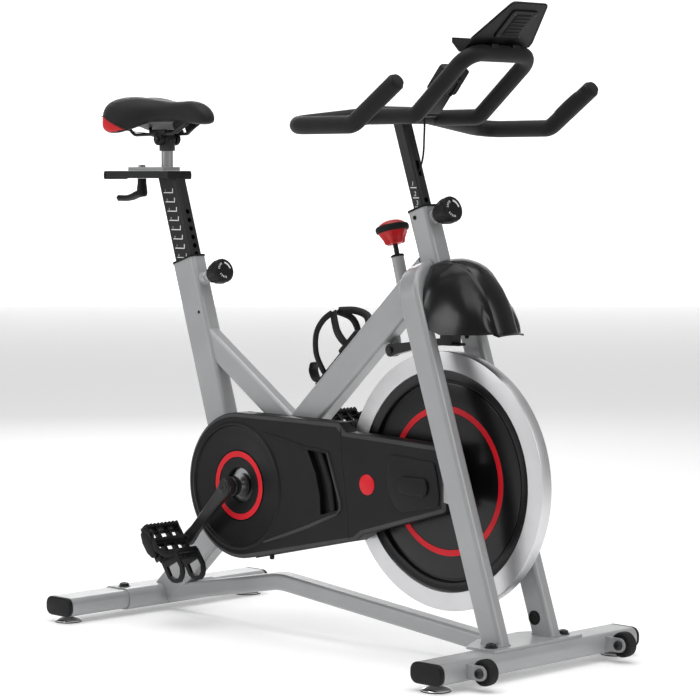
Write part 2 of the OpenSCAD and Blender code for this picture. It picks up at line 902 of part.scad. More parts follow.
// A pin from just off the post's face to the inside of its knob
module pin_shape(d, face, near) {
    translate([face + gap, 0, d]) rotate([0, 90, 0])
        cylinder(r = pin_r, h = near + knob_len[0] - face - gap);
}

module knob_shape(d, near) {
    translate([near, 0, d]) rotate([0, 90, 0]) difference() {
        union() {
            cylinder(r1 = 17, r2 = 26, h = knob_len[0]);
            translate([0, 0, knob_len[0]]) cylinder(r1 = 26, r2 = 25, h = knob_len[1]);
        }
        translate([0, 0, -1]) cylinder(r = pin_r + fit_gap, h = knob_len[0] + 1 + fit_gap);
    }
}

module seat_pin() { color("silver") at_seat() pin_shape(seat_pin_d, post_w / 2, seat_knob_near); }
module seat_knob() { color("#181818") at_seat() knob_shape(seat_pin_d, seat_knob_near); }
module head_pin() { color("silver") at_head() pin_shape(head_pin_d, bar_post_w / 2, head_knob_near); }
module head_knob() { color("#181818") at_head() knob_shape(head_pin_d, head_knob_near); }

// ---------- handlebar

module bar_post() {
    color("#1a1a1a") difference() {
        at_head() translate([0, 0, -bar_post_in])
            hollow_bar(bar_post_w, bar_post_w, 5, bar_post_in + bar_post_out);
        y_rod(236, bar_z, bar_r, -60, 60);
        at_head() translate([0, -4, 66]) cube([30, 8, 32]);
        for (i = [-4 : 2]) at_head() pin_bore(head_pin_d + i * hole_pitch, hole_r);
    }
}

bar_z = 1066;
grip_z = 1042;
// Half of the outer bar and of the inner loop, from the middle plane out
outer_path = [
    [192, horn_y, grip_z], [372, horn_y, grip_z], [486, horn_y - 2, 1122]
];
loop_path = [[228, loop_y, 1062], [352, loop_y, 1062], [490, loop_y, 1178]];
function flip_y(p) = [for (i = [len(p) - 1 : -1 : 0]) [p[i].x, -p[i].y, p[i].z]];

module handlebar() {
    outer = concat(flip_y(outer_path), [[236, -70, bar_z], [236, 70, bar_z]], outer_path);
    color("#141414") {
        sweep(rounded(outer, 42), bar_r, 20);
        sweep(rounded(inner_loop(), 36), bar_r - 1, 20);
    }
}

// The inner loop in one run: up one side, across the top and down the other
function inner_loop() = concat(loop_path, flip_y(loop_path));

// The console and its bracket sit between the two sides of the inner loop
console_pt = [352, 1134];
console_tilt = 50;
console_w = 70;
button_z = 7;
module at_console() {
    translate([console_pt[0], 0, console_pt[1]]) rotate([0, -console_tilt, 0]) children();
}

module console() {
    color("#101010") difference() {
        union() {
            at_console() translate([-console_len / 2, -console_w / 2, -12])
                cube([console_len, console_w, 22]);
            // Bracket: down behind the console, then back to the bar
            at_console() translate([-80, -24, -11]) cube([60, 48, 8]);
            translate([240, -20, 1062]) cube([67, 40, 9]);
        }
        y_rod(236, bar_z, bar_r, -60, 60);
        at_console() for (s = [-1, 1])
            translate([-20, s * 16, button_z - 2.4]) cylinder(r = 6 + gap, h = 14);
    }
}

module button(s) {
    color("dimgray") at_console() translate([-20, s * 16, button_z]) cylinder(r = 6, h = 5);
}
module button_left() { button(1); }
module button_right() { button(-1); }

// Media tray: a tilted plate with a lip, carried by two blocks on the top of the inner loop
module tray() {
    color("#121212") difference() {
        union() {
            translate([481, 0, 1196.5]) rotate([0, 47, 0]) rotate([0, 0, 90]) rotate([90, 0, 0])
                linear_extrude(4) polygon([[-86, -3], [86, -3], [86, 12], [48, 108], [-48, 108], [-86, 12]]);
            // Shelf with a lip at its edge and a wedge underneath
            translate([0, 84, 0]) rotate([90, 0, 0]) linear_extrude(168) polygon([
                [440, 1199], [440, 1208], [444, 1208], [445, 1203],
                [490.5, 1203], [484.5, 1196], [466, 1181], [458, 1181]
            ]);
            for (s = [-1, 1]) translate([478, s * 30 - 10, 1180]) cube([24, 20, 17]);
        }
        y_rod(490, 1178, bar_r - 1, -60, 60);
    }
}

lead_pts = [
    [288, 3, 1061.6], [289, 2, 1050], [289.5, 1, 1036], [289.5, 0, 1018], [289, 0, 1002],
    [287.5, 0, 988], [284.5, 0, 975], [279.5, 0, 963], [274.5, 0, 955.5], [270, 0, 950]
];
lead_r = 2;

module console_lead() {
    color("black") sweep(lead_pts, lead_r, 8, [0, 1, 0]);
}

// ---------- resistance control

module brake_rod() {
    color("#222222") at_brake() translate([0, 0, -148]) cylinder(r = rod_r, h = 208);
}

module brake_knob() {
    color("red") at_brake() difference() {
        union() {
            translate([0, 0, 48]) cylinder(r1 = 19, r2 = 27, h = 22);
            translate([0, 0, 70]) cylinder(r = 33, h = 14);
            translate([0, 0, 84]) cylinder(r1 = 31, r2 = 14, h = 13);
        }
        translate([0, 0, 40]) cylinder(r = rod_r + fit_gap, h = 20 + fit_gap);
    }
}

// A flat lever that widens from its pivot, with a block that hangs over the flywheel's rim
module brake_arm() {
    color("#1c1c1c") {
        translate([arm_pivot[0], 7, arm_pivot[1]]) rotate([90, 0, 0]) linear_extrude(17) difference() {
            union() {
                circle(13);
                polygon([[-2, -12], [60, 4], [163, 20.5], [163, 34], [70, 21.3], [-4, 11.5]]);
            }
            circle(5 + fit_gap);
        }
        translate([346, -14, 616.5]) cube([30, 28, 22]);
    }
}

rear_stabilizer();
front_stabilizer();
end_caps();
rear_bracket();
front_plate();
base_tube();
main_tube();
seat_tube();
brace_tube();
head_tube();
leg_right();
leg_left();
bottom_bracket();
guard_right();
guard_back();
guard_left();
drive_belt();
flywheel_axle();
hood();
bottle_cage();
seat_liner();
head_liner();
frame_bolts();
foot_rear_right();
foot_rear_left();
foot_front_right();
foot_front_left();
wheel_right();
wheel_left();
flywheel_disc();
flywheel_rim();
crank_spindle();
crank_right();
crank_left();
pedal_right();
pedal_left();
toe_cage_right();
toe_cage_left();
seat_post();
seat_rail();
seat_carriage();
saddle_clamp();
saddle_rails();
saddle();
seat_lever();
seat_pin();
seat_knob();
head_pin();
head_knob();
bar_post();
handlebar();
console();
tray();
console_lead();
button_left();
button_right();
brake_rod();
brake_knob();
brake_arm();
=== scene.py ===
# Indoor spin bike: the look of each piece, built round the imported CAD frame.
import json
import math

import bpy
import bmesh
from mathutils import Matrix, Vector


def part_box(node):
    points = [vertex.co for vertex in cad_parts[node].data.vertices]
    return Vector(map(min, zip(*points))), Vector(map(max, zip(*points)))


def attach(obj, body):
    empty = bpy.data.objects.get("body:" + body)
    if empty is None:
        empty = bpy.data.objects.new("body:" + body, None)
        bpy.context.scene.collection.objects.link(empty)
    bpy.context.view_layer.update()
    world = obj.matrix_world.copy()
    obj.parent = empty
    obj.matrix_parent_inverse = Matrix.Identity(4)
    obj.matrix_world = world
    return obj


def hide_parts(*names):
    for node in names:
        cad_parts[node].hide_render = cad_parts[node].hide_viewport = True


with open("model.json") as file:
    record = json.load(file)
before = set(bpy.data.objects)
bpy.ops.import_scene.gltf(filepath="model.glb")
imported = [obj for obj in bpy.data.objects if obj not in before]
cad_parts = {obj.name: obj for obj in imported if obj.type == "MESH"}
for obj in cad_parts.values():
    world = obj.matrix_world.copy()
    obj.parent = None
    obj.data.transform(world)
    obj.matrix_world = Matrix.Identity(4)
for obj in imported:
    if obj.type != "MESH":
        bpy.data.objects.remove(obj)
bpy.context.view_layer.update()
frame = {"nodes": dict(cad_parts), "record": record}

MM = 0.001
scene = bpy.context.scene
NODES = frame["nodes"]

# ---------- camera, floor and light

cam_data = bpy.data.cameras.new("camera")
cam_data.sensor_width = 36
cam_data.lens = 133.94
cam = bpy.data.objects.new("camera", cam_data)
cam.location = (3.7902, -3.7427, 0.950)
cam.rotation_euler = (math.radians(86.13613), 0, math.radians(44.7104))
scene.collection.objects.link(cam)
scene.camera = cam


def area_light(name, at, to, size, power, size_y=None):
    data = bpy.data.lights.new(name, "AREA")
    data.energy = power
    data.size = size
    if size_y:
        data.shape = "RECTANGLE"
        data.size_y = size_y
    ob = bpy.data.objects.new(name, data)
    ob.location = at
    ob.rotation_euler = (Vector(to) - Vector(at)).to_track_quat("-Z", "Y").to_euler()
    scene.collection.objects.link(ob)


AIM = (0, 0, 0.6)
area_light("top", (0.3, -0.4, 4.2), (0, 0, 0), 4.5, 150)
area_light("key_front", (3.4, 0.6, 2.2), AIM, 1.3, 26, 2.2)
area_light("fill_side", (-2.2, -3.6, 1.9), AIM, 1.8, 30, 1.6)
area_light("back_left", (-3.4, 2.4, 2.2), AIM, 1.6, 25)
world = bpy.data.worlds.new("studio")
world.use_nodes = True
world.node_tree.nodes["Background"].inputs["Color"].default_value = (1, 1, 1, 1)
world.node_tree.nodes["Background"].inputs["Strength"].default_value = 0.3
scene.world = world
scene.view_settings.view_transform = "Standard"

# ---------- materials


def node_of(tree, kind, **values):
    n = tree.nodes.new(kind)
    for k, v in values.items():
        n.inputs[k].default_value = v
    return n


def material(name, base, rough, grain, bump, vary, metal=0.0, rough_vary=0.06, coat=0.0, coat_rough=0.1,
             sheen=0.0, kind="noise", spec=0.5, depth=0.0004, stretch=(1, 1, 1), blotch=14.0):
    """A node material whose colour, roughness and surface all vary over the piece."""
    m = bpy.data.materials.new(name)
    m.use_nodes = True
    t = m.node_tree
    b = t.nodes["Principled BSDF"]

    def link(out_of, output, into, entry):
        t.links.new(out_of.outputs[output], into.inputs[entry])

    for key, value in (("Metallic", metal), ("Coat Weight", coat), ("Coat Roughness", coat_rough),
                       ("Sheen Weight", sheen), ("Specular IOR Level", spec)):
        b.inputs[key].default_value = value
    where = t.nodes.new("ShaderNodeTexCoord")
    mapping = t.nodes.new("ShaderNodeMapping")
    mapping.inputs["Scale"].default_value = stretch
    link(where, "Object", mapping, "Vector")
    big = node_of(t, "ShaderNodeTexNoise", Scale=blotch, Detail=4.0)
    ramp = t.nodes.new("ShaderNodeValToRGB")
    lo = [max(0, c * (1 - vary)) for c in base]
    hi = [min(1, c * (1 + vary)) for c in base]
    ramp.color_ramp.elements[0].position = 0.35
    ramp.color_ramp.elements[0].color = (*lo, 1)
    ramp.color_ramp.elements[1].position = 0.65
    ramp.color_ramp.elements[1].color = (*hi, 1)
    link(mapping, "Vector", big, "Vector")
    link(big, "Fac", ramp, "Fac")
    link(ramp, "Color", b, "Base Color")
    mid = node_of(t, "ShaderNodeTexNoise", Scale=blotch * 3.1, Detail=3.0)
    spread = t.nodes.new("ShaderNodeMapRange")
    spread.inputs["To Min"].default_value = max(0.02, rough - rough_vary)
    spread.inputs["To Max"].default_value = min(1, rough + rough_vary)
    link(mapping, "Vector", mid, "Vector")
    link(mid, "Fac", spread, "Value")
    link(spread, "Result", b, "Roughness")
    bumper = t.nodes.new("ShaderNodeBump")
    bumper.inputs["Strength"].default_value = bump
    bumper.inputs["Distance"].default_value = depth
    if kind == "cells":
        fine = node_of(t, "ShaderNodeTexVoronoi", Scale=grain)
        link(mapping, "Vector", fine, "Vector")
        link(fine, "Distance", bumper, "Height")
    elif kind == "turned":
        flat = node_of(t, "ShaderNodeVectorMath")
        flat.operation = "MULTIPLY"
        flat.inputs[1].default_value = (1, 0, 1)
        shift = t.nodes.new("ShaderNodeVectorMath")
        shift.operation = "SUBTRACT"
        shift.inputs[1].default_value = AXLE
        far = t.nodes.new("ShaderNodeVectorMath")
        far.operation = "LENGTH"
        fine = node_of(t, "ShaderNodeTexNoise", Scale=grain, Detail=3.0)
        fine.noise_dimensions = "1D"
        link(where, "Object", shift, 0)
        link(shift, "Vector", flat, 0)
        link(flat, "Vector", far, 0)
        link(far, "Value", fine, "W")
        link(fine, "Fac", bumper, "Height")
    else:
        fine = node_of(t, "ShaderNodeTexNoise", Scale=grain, Detail=5.0)
        link(mapping, "Vector", fine, "Vector")
        link(fine, "Fac", bumper, "Height")
    link(bumper, "Normal", b, "Normal")
    return m


def middle(node):
    lo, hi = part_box(node)
    return (Vector(lo) + Vector(hi)) / 2


AXLE = middle("flywheel_rim")
PAINT = material("frame_paint", (0.36, 0.363, 0.37), 0.38, 420, 0.06, 0.03, metal=0.2, coat=0.25,
    coat_rough=0.25)
PAINT_DARK = material("carriage_paint", (0.42, 0.425, 0.43), 0.33, 420, 0.06, 0.04, metal=0.35, coat=0.2,
    coat_rough=0.2)
STEEL = material("black_steel", (0.018, 0.018, 0.019), 0.36, 700, 0.08, 0.15, coat=0.15, coat_rough=0.3,
    spec=0.22)
PLASTIC = material("black_plastic", (0.006, 0.006, 0.0064), 0.46, 1500, 0.35, 0.15, depth=0.0003,
    spec=0.22)
# A lighter copy of the black plastic: painted highlight on the guard's edge band, ridges and bump ring.
PLASTIC_PAINTED_HIGHLIGHT = material("guard_edge_painted_highlight", (0.05, 0.05, 0.052), 0.5, 1500, 0.35, 0.12, depth=0.0003, spec=0.22)
GLOSS = material("gloss_black", (0.003, 0.003, 0.0034), 0.24, 60, 0.01, 0.2, coat=0.2, coat_rough=0.16,
    rough_vary=0.03, spec=0.3)
FOAM = material("grip_foam", (0.0045, 0.0045, 0.0048), 0.6, 1100, 0.45, 0.18, sheen=0.08, depth=0.0004,
    spec=0.22)
RUBBER = material("rubber", (0.012, 0.012, 0.012), 0.7, 800, 0.4, 0.2, spec=0.22)
CHROME = material("chrome", (0.72, 0.71, 0.70), 0.12, 90, 0.01, 0.03, metal=1.0, rough_vary=0.04)
POST_METAL = material("satin_post", (0.42, 0.42, 0.43), 0.3, 500, 0.05, 0.04, metal=0.9,
    stretch=(1, 1, 0.05))
RIM = material("rim_steel", (0.66, 0.66, 0.67), 0.42, 2600, 0.04, 0.02, metal=1.0, kind="turned",
    depth=0.0002)
WHEEL = material("wheel_iron", (0.005, 0.005, 0.0054), 0.3, 300, 0.05, 0.2, coat=0.25, coat_rough=0.2,
    spec=0.22)
PIN_STEEL = material("axle_steel", (0.35, 0.35, 0.36), 0.3, 1800, 0.05, 0.05, metal=1.0)
VINYL = material("saddle_vinyl", (0.009, 0.009, 0.0095), 0.5, 1250, 0.55, 0.15, kind="cells", sheen=0.05,
    spec=0.22)
VINYL_RED = material("saddle_red", (0.62, 0.012, 0.016), 0.45, 1250, 0.5, 0.06, kind="cells", spec=0.25)
RED = material("knob_red", (0.5, 0.005, 0.008), 0.32, 500, 0.04, 0.05, coat=0.12, coat_rough=0.15,
    spec=0.25)
RED_PAINT = material("red_ring", (0.72, 0.010, 0.022), 0.42, 700, 0.12, 0.04, spec=0.25)
PRINT = material("white_print", (0.72, 0.72, 0.72), 0.55, 900, 0.1, 0.05)
BELT = material("belt_rubber", (0.014, 0.014, 0.014), 0.75, 900, 0.5, 0.2, spec=0.22)
GLASS = material("screen", (0.010, 0.012, 0.012), 0.08, 40, 0.005, 0.1, coat=0.5, coat_rough=0.03)
# Near-black for the guard's seam line, and painted shade in holes, slots, the hub opening and the tray's
# well.
SEAM_AND_RECESS_SHADE = material("seam_and_painted_recess_shade", (0.004, 0.004, 0.004), 0.65, 900, 0.3, 0.2, spec=0.22)

SLOT_OF = {part["node"]: part["material_slot"] for part in frame["record"]["subparts"]}
BY_SLOT = {
    "frame_paint": PAINT, "black_steel": STEEL, "black_plastic": PLASTIC, "gloss_black": GLOSS,
    "grip_foam": FOAM, "rubber": RUBBER, "chrome": CHROME, "rim_steel": RIM, "wheel_iron": WHEEL,
    "axle_steel": PIN_STEEL, "carriage_paint": PAINT_DARK, "saddle_vinyl": VINYL, "knob_red": RED,
}
for n, ob in NODES.items():
    ob.data.materials.clear()
    ob.data.materials.append(BELT if n == "drive_belt" else BY_SLOT[SLOT_OF[n]])

floor_mat = material("floor", (0.9, 0.9, 0.9), 0.8, 60, 0.01, 0.005, spec=0.1)
floor_in = floor_mat.node_tree.nodes["Principled BSDF"].inputs
floor_in["Emission Color"].default_value = (1, 1, 1, 1)
floor_in["Emission Strength"].default_value = 0.22
bm = bmesh.new()
bmesh.ops.create_grid(bm, x_segments=8, y_segments=8, size=14)
floor_mesh = bpy.data.meshes.new("floor")
bm.to_mesh(floor_mesh)
bm.free()
floor_mesh.materials.append(floor_mat)
floor = bpy.data.objects.new("floor", floor_mesh)
scene.collection.objects.link(floor)
glow = bpy.data.materials.new("backdrop")
glow.use_nodes = True
glow_in = glow.node_tree.nodes["Principled BSDF"].inputs
glow_in["Emission Strength"].default_value = 0.8
glow_in["Emission Color"].default_value = (1, 1, 1, 1)
glow_in["Base Color"].default_value = (0.9, 0.9, 0.9, 1)
wall_mesh = bpy.data.meshes.new("backdrop")
wall_mesh.from_pydata([(-9, 0, -0.5), (9, 0, -0.5), (9, 0, 9), (-9, 0, 9)], [], [(0, 1, 2, 3)])
wall_mesh.materials.append(glow)
wall = bpy.data.objects.new("backdrop", wall_mesh)
wall.location = (-9.5, 9.5, 0)
wall.rotation_euler = (0, 0, math.radians(44.7))
scene.collection.objects.link(wall)

# ---------- mesh helpers, in millimetres

moved = Matrix.Translation


# Frames by the directions of their x, y and z: out of the right face, lengthwise, along Y
FACE_RIGHT = Matrix(((1, 0, 0, 0), (0, 0, -1, 0), (0, 1, 0, 0), (0, 0, 0, 1)))
ALONG_X = Matrix(((0, 0, 1, 0), (1, 0, 0, 0), (0, 1, 0, 0), (0, 0, 0, 1)))
ALONG_Y = Matrix(((1, 0, 0, 0), (0, 0, 1, 0), (0, 1, 0, 0), (0, 0, 0, 1)))
SIDES = ((-1, "r"), (1, "l"))


def polar(r, deg, x=0, y=0):
    """The point at a radius and an angle from a centre."""
    return x + r * math.cos(math.radians(deg)), y + r * math.sin(math.radians(deg))


def facing(x, y, z, turns, axis="X"):
    """A frame at a point, turned by a number of right angles."""
    return moved((x, y, z)) @ Matrix.Rotation(turns * math.pi / 2, 4, axis)


def place(x, z, lean=0.0, y=0.0, axis=None):
    """A frame leaning back by lean degrees; axis 'x', 'r' or 'l' points its z forward, right or left."""
    m = moved((x, y, z)) @ Matrix.Rotation(-math.radians(lean), 4, "Y")
    if axis == "x":
        m = m @ Matrix.Rotation(math.pi / 2, 4, "Y")
    if axis == "r":
        m = m @ Matrix.Rotation(math.pi / 2, 4, "X")
    if axis == "l":
        m = m @ Matrix.Rotation(-math.pi / 2, 4, "X")
    return m


def piece(name, verts, faces, body, mats, at=None, picks=None, bevel=0.0, cuts=2, bevel_at=30,
          sub=0, sharp=35, hides="", solid=0.0):
    mesh = bpy.data.meshes.new(name)
    at = at or Matrix.Identity(4)
    mesh.from_pydata([tuple((at @ Vector(v)) * MM) for v in verts], [], faces)
    mats = mats if isinstance(mats, (list, tuple)) else [mats]
    for m in mats:
        mesh.materials.append(m)
    if picks:
        for p, k in zip(mesh.polygons, picks):
            p.material_index = k
    b = bmesh.new()
    b.from_mesh(mesh)
    bmesh.ops.remove_doubles(b, verts=b.verts, dist=1e-6)
    bmesh.ops.recalc_face_normals(b, faces=b.faces)
    b.to_mesh(mesh)
    b.free()
    ob = bpy.data.objects.new(name, mesh)
    scene.collection.objects.link(ob)
    if solid:
        s = ob.modifiers.new("solid", "SOLIDIFY")
        s.thickness = solid * MM
        s.offset = -1
    if bevel:
        v = ob.modifiers.new("bevel", "BEVEL")
        v.width = bevel * MM
        v.segments = cuts
        v.limit_method = "ANGLE"
        v.angle_limit = math.radians(bevel_at)
        v.use_clamp_overlap = True
    if sub:
        s = ob.modifiers.new("sub", "SUBSURF")
        s.levels = sub
        s.render_levels = sub
    if ob.modifiers:
        bake(ob)
    ob.data.shade_smooth()
    ob.data.set_sharp_from_angle(angle=math.radians(sharp))
    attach(ob, body)
    if hides:
        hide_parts(hides)
    return ob


def bake(ob):
    """Applies the modifiers."""
    ev = ob.evaluated_get(bpy.context.evaluated_depsgraph_get())
    mesh = bpy.data.meshes.new_from_object(ev)
    ob.modifiers.clear()
    ob.data = mesh


def cut(ob, *cutters):
    """Takes the cutters' shapes out of ob, and removes the cutters."""
    for c in cutters:
        d = ob.modifiers.new("cut", "BOOLEAN")
        d.operation = "DIFFERENCE"
        d.solver = "EXACT"
        d.object = c
    bpy.context.view_layer.update()
    bake(ob)
    for c in cutters:
        bpy.data.objects.remove(c)
    ob.data.shade_smooth()
    ob.data.set_sharp_from_angle(angle=math.radians(30))


def lathe(name, prof, body, mats, at, seg=72, closed=False, picks=None, **k):
    """Turns a profile of (radius, height) about the frame's z."""
    verts, faces, got = [], [], []
    rings = []
    for r, h in prof:
        if r < 1e-6:
            rings.append([len(verts)])
            verts.append((0, 0, h))
        else:
            rings.append(list(range(len(verts), len(verts) + seg)))
            verts += [(r * math.cos(2 * math.pi * i / seg), r * math.sin(2 * math.pi * i / seg),
                h) for i in range(seg)]
    pairs = list(zip(range(len(rings) - 1), range(1, len(rings))))
    if closed:
        pairs.append((len(rings) - 1, 0))
    for n, (a, b) in enumerate(pairs):
        for i in range(seg):
            j = (i + 1) % seg
            A, B = rings[a], rings[b]
            if len(A) == 1 and len(B) == 1:
                continue
            if len(A) == 1:
                faces.append((A[0], B[i], B[j]))
            elif len(B) == 1:
                faces.append((A[i], B[0], A[j]))
            else:
                faces.append((A[i], B[i], B[j], A[j]))
            got.append(picks[n] if picks else 0)
    return piece(name, verts, faces, body, mats, at=at, picks=got if picks else None, **k)


def prism(name, outline, h0, h1, body, mats, at=None, **k):
    """A flat outline pushed from h0 to h1 along the frame's z."""
    n = len(outline)
    verts = [(x, y, h0) for x, y in outline] + [(x, y, h1) for x, y in outline]
    faces = [tuple(range(n))[::-1], tuple(range(n, 2 * n))]
    faces += [(i, (i + 1) % n, n + (i + 1) % n, n + i) for i in range(n)]
    return piece(name, verts, faces, body, mats, at=at, **k)


def box_piece(name, lo, hi, body, mats, at=None, **k):
    k.setdefault("bevel", 1.5)
    o = [(lo[0], lo[1]), (hi[0], lo[1]), (hi[0], hi[1]), (lo[0], hi[1])]
    return prism(name, o, lo[2], hi[2], body, mats, at=at, **k)


def loft(name, rings, body, mats, caps=True, closed=False, **k):
    """Skins rings of equal point count."""
    n = len(rings[0])
    verts = [tuple(p) for r in rings for p in r]
    faces = []
    m = len(rings)
    for a in range(m if closed else m - 1):
        b = (a + 1) % m
        for i in range(n):
            j = (i + 1) % n
            faces.append((a * n + i, b * n + i, b * n + j, a * n + j))
    if caps and not closed:
        faces.append(tuple(range(n))[::-1])
        faces.append(tuple((m - 1) * n + i for i in range(n)))
    return piece(name, verts, faces, body, mats, **k)


def rounded(pts, br, n=10):
    """A path with each inner corner rounded."""
    out = [Vector(pts[0])]
    for a, b, c in zip(pts, pts[1:], pts[2:]):
        a, b, c = Vector(a), Vector(b), Vector(c)
        d1, d2 = (b - a).normalized(), (c - b).normalized()
        turn = math.acos(max(-1, min(1, d1.dot(d2))))
        if turn < 1e-3:
            out.append(b)
            continue
        inward = (d2 - d1 * d1.dot(d2)).normalized()
        o = b - d1 * br * math.tan(turn / 2) + inward * br
        for i in range(n + 1):
            t = turn * i / n
            out.append(o + br * (d1 * math.sin(t) - inward * math.cos(t)))
    out.append(Vector(pts[-1]))
    return out


def tube(name, pts, r, body, mats, ring=20, dome=0.6, closed=False, squash=1.0, start=(0, 0, 1), **k):
    """A tube along a path; r is a radius, or a function of the share of the way; dome rounds its ends."""
    pts = [Vector(p) for p in pts]
    n = len(pts)
    run = [0.0]
    for a, b in zip(pts, pts[1:]):
        run.append(run[-1] + (b - a).length)
    total = run[-1] or 1
    rad = r if callable(r) else (lambda s: r)
    heads = []
    for i in range(n):
        if closed:
            heads.append((pts[(i + 1) % n] - pts[i - 1]).normalized())
        else:
            heads.append((pts[min(i + 1, n - 1)] - pts[max(i - 1, 0)]).normalized())
    u = Vector(start)
    rings = []

    def ring_at(c, h, u, q):
        v = h.cross(u)
        return [c + q * (math.cos(2 * math.pi * j / ring) * u + squash * math.sin(2 * math.pi * j / ring)
            * v) for j in range(ring)]

    for i in range(n):
        u = (u - heads[i] * heads[i].dot(u)).normalized()
        q = rad(run[i] / total)
        if i == 0 and not closed and dome:
            for t in (0.08, 0.35, 0.65, 0.9):
                w = math.sqrt(1 - (1 - t) ** 2)
                rings.append(ring_at(pts[0] + heads[0] * (q * dome * t), heads[0], u, q * w))
            if (pts[1] - pts[0]).length > q * dome * 1.05:
                rings.append(ring_at(pts[0] + heads[0] * (q * dome), heads[0], u, q))
            continue
        if i == n - 1 and not closed and dome:
            if (pts[-1] - pts[-2]).length > q * dome * 1.05:
                rings.append(ring_at(pts[-1] - heads[-1] * (q * dome), heads[-1], u, q))
            for t in (0.9, 0.65, 0.35, 0.08):
                w = math.sqrt(1 - (1 - t) ** 2)
                rings.append(ring_at(pts[-1] - heads[-1] * (q * dome * t), heads[-1], u, q * w))
            continue
        rings.append(ring_at(pts[i], heads[i], u, q))
    return loft(name, rings, body, mats, caps=not closed, closed=closed, **k)


def inset(outline, d):
    """A closed outline (anticlockwise) moved inward by d."""
    out = []
    n = len(outline)
    for i in range(n):
        a, b, c = Vector(outline[i - 1]), Vector(outline[i]), Vector(outline[(i + 1) % n])
        d1, d2 = (b - a).normalized(), (c - b).normalized()
        n1, n2 = Vector((-d1.y, d1.x)), Vector((-d2.y, d2.x))
        m = n1 + n2
        if m.length < 1e-6:
            m = n1
        m.normalize()
        out.append(tuple(b + m * (d / max(0.35, m.dot(n1)))))
    return out


def text_mark(name, words, size, body, mat, at):
    """Raised print, 0.2 mm thick, on a frame whose z points out of the surface."""
    data = bpy.data.curves.new(name, "FONT")
    data.body = words
    data.size = size * MM
    data.extrude = 0.15 * MM
    data.align_x = "CENTER"
    data.align_y = "CENTER"
    tmp = bpy.data.objects.new(name + "_curve", data)
    scene.collection.objects.link(tmp)
    bpy.context.view_layer.update()
    mesh = bpy.data.meshes.new_from_object(tmp.evaluated_get(bpy.context.evaluated_depsgraph_get()))
    bpy.data.objects.remove(tmp)
    t = at.copy()
    t.translation = at.translation * MM
    mesh.transform(t)
    mesh.materials.clear()
    mesh.materials.append(mat)
    ob = bpy.data.objects.new(name, mesh)
    scene.collection.objects.link(ob)
    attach(ob, body)
    return ob


def mm(v):
    return [c / MM for c in v]


def span(node):
    lo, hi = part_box(node)
    return mm(lo), mm(hi)


# ---------- flywheel

ax, _, az = mm(middle("flywheel_rim"))
fly = place(ax, az, axis="r")
rim_lo, rim_hi = span("flywheel_rim")
R = (rim_hi[0] - rim_lo[0]) / 2
near, far = -rim_lo[1], -rim_hi[1]
lathe("flywheel_band", [
    (218, near - 1), (219, near), (R - 2.5, near), (R - 0.6, near - 0.6), (R, near - 2.5),
    (R, far + 2.5), (R - 0.6, far + 0.6), (R - 2.5, far), (219, far), (218, far + 1)],
    "flywheel", RIM, fly, seg=160, closed=True, hides="flywheel_rim", sharp=30)
lathe("flywheel_plate", [
    (6.3, 47.6), (23, 48), (24, 47), (26.4, 46.8), (27, 46), (27, 34), (26.4, 33.2), (24, 33), (24, 12),
    (26, 9.4), (56, 9),
    (60, 8.4), (64, 5.6), (130, 5), (135, 5), (136, 5.6), (148, 5.6), (149, 5), (190, 5), (192.5, 4.4),
    (193.5, 3),
    (196.5, 3), (197.5, 4.4), (198.5, 9.4), (200.5, 11), (214, 11.2), (217.6, 12.6), (217.9, 11),
    (217.9, -9),
    (216, -10.6), (200.5, -9), (198.5, -8), (197.5, -4), (149, -4), (148, -4.6), (136, -4.6), (135, -4),
    (64, -4.4),
    (60, -8.4), (56, -9), (26, -9.4), (24, -12), (24, -35), (23, -36), (6.3, -36)],
    "flywheel", [WHEEL, RED_PAINT], fly, seg=144, closed=True,
    picks=[1 if i in (15, 33) else 0 for i in range(45)], hides="flywheel_disc", sharp=25)

# ---------- belt guard

gx, gz = -188, 300
face = 62
guard = [polar(153, a, gx, gz) for a in range(90, 283, 4)]
guard += [(60, 196.6), (141, 214), (158, 217), (178, 232), (300, 267), (398, 295), (404, 301),
    (402.5, 416), (396, 423.5),
          (260, 429.5), (129, 434.5), (119, 443), (109, 451.6), (-40, 452.8)]
side = FACE_RIGHT
layers = [(0, 25), (0, 54.5), (0.5, 55.6), (1.6, 56.4), (8.6, 61.4), (9.6, 61.9), (11, face)]
rings = [[side @ Vector((x, z, h)) for x, z in (inset(guard, d) if d else guard)] for d, h in layers]
shell = loft("guard_cover", rings, "frame", [PLASTIC, PLASTIC_PAINTED_HIGHLIGHT], hides="guard_right", sharp=24)
# The face's bevel band takes the lighter plastic, a painted highlight along the edge.
for p in shell.data.polygons:
    c = p.center / MM
    if -61.3 < c.y < -56.5:
        p.material_index = 1
hub_hole = lathe("cut_dish", [(0, 40), (127, 40), (127, 80), (0, 80)], "frame", SEAM_AND_RECESS_SHADE,
    place(gx, gz, axis="r"), seg=96)
slot_line = [(24, 391), (80, 387.5), (100, 336), (116.5, 284), (112, 275.5), (68, 263), (62, 262),
    (60, 300), (48, 345)]
slot_cut = prism("cut_slot", slot_line, 46, 80, "frame", SEAM_AND_RECESS_SHADE, at=side)
cut(shell, hub_hole, slot_cut)
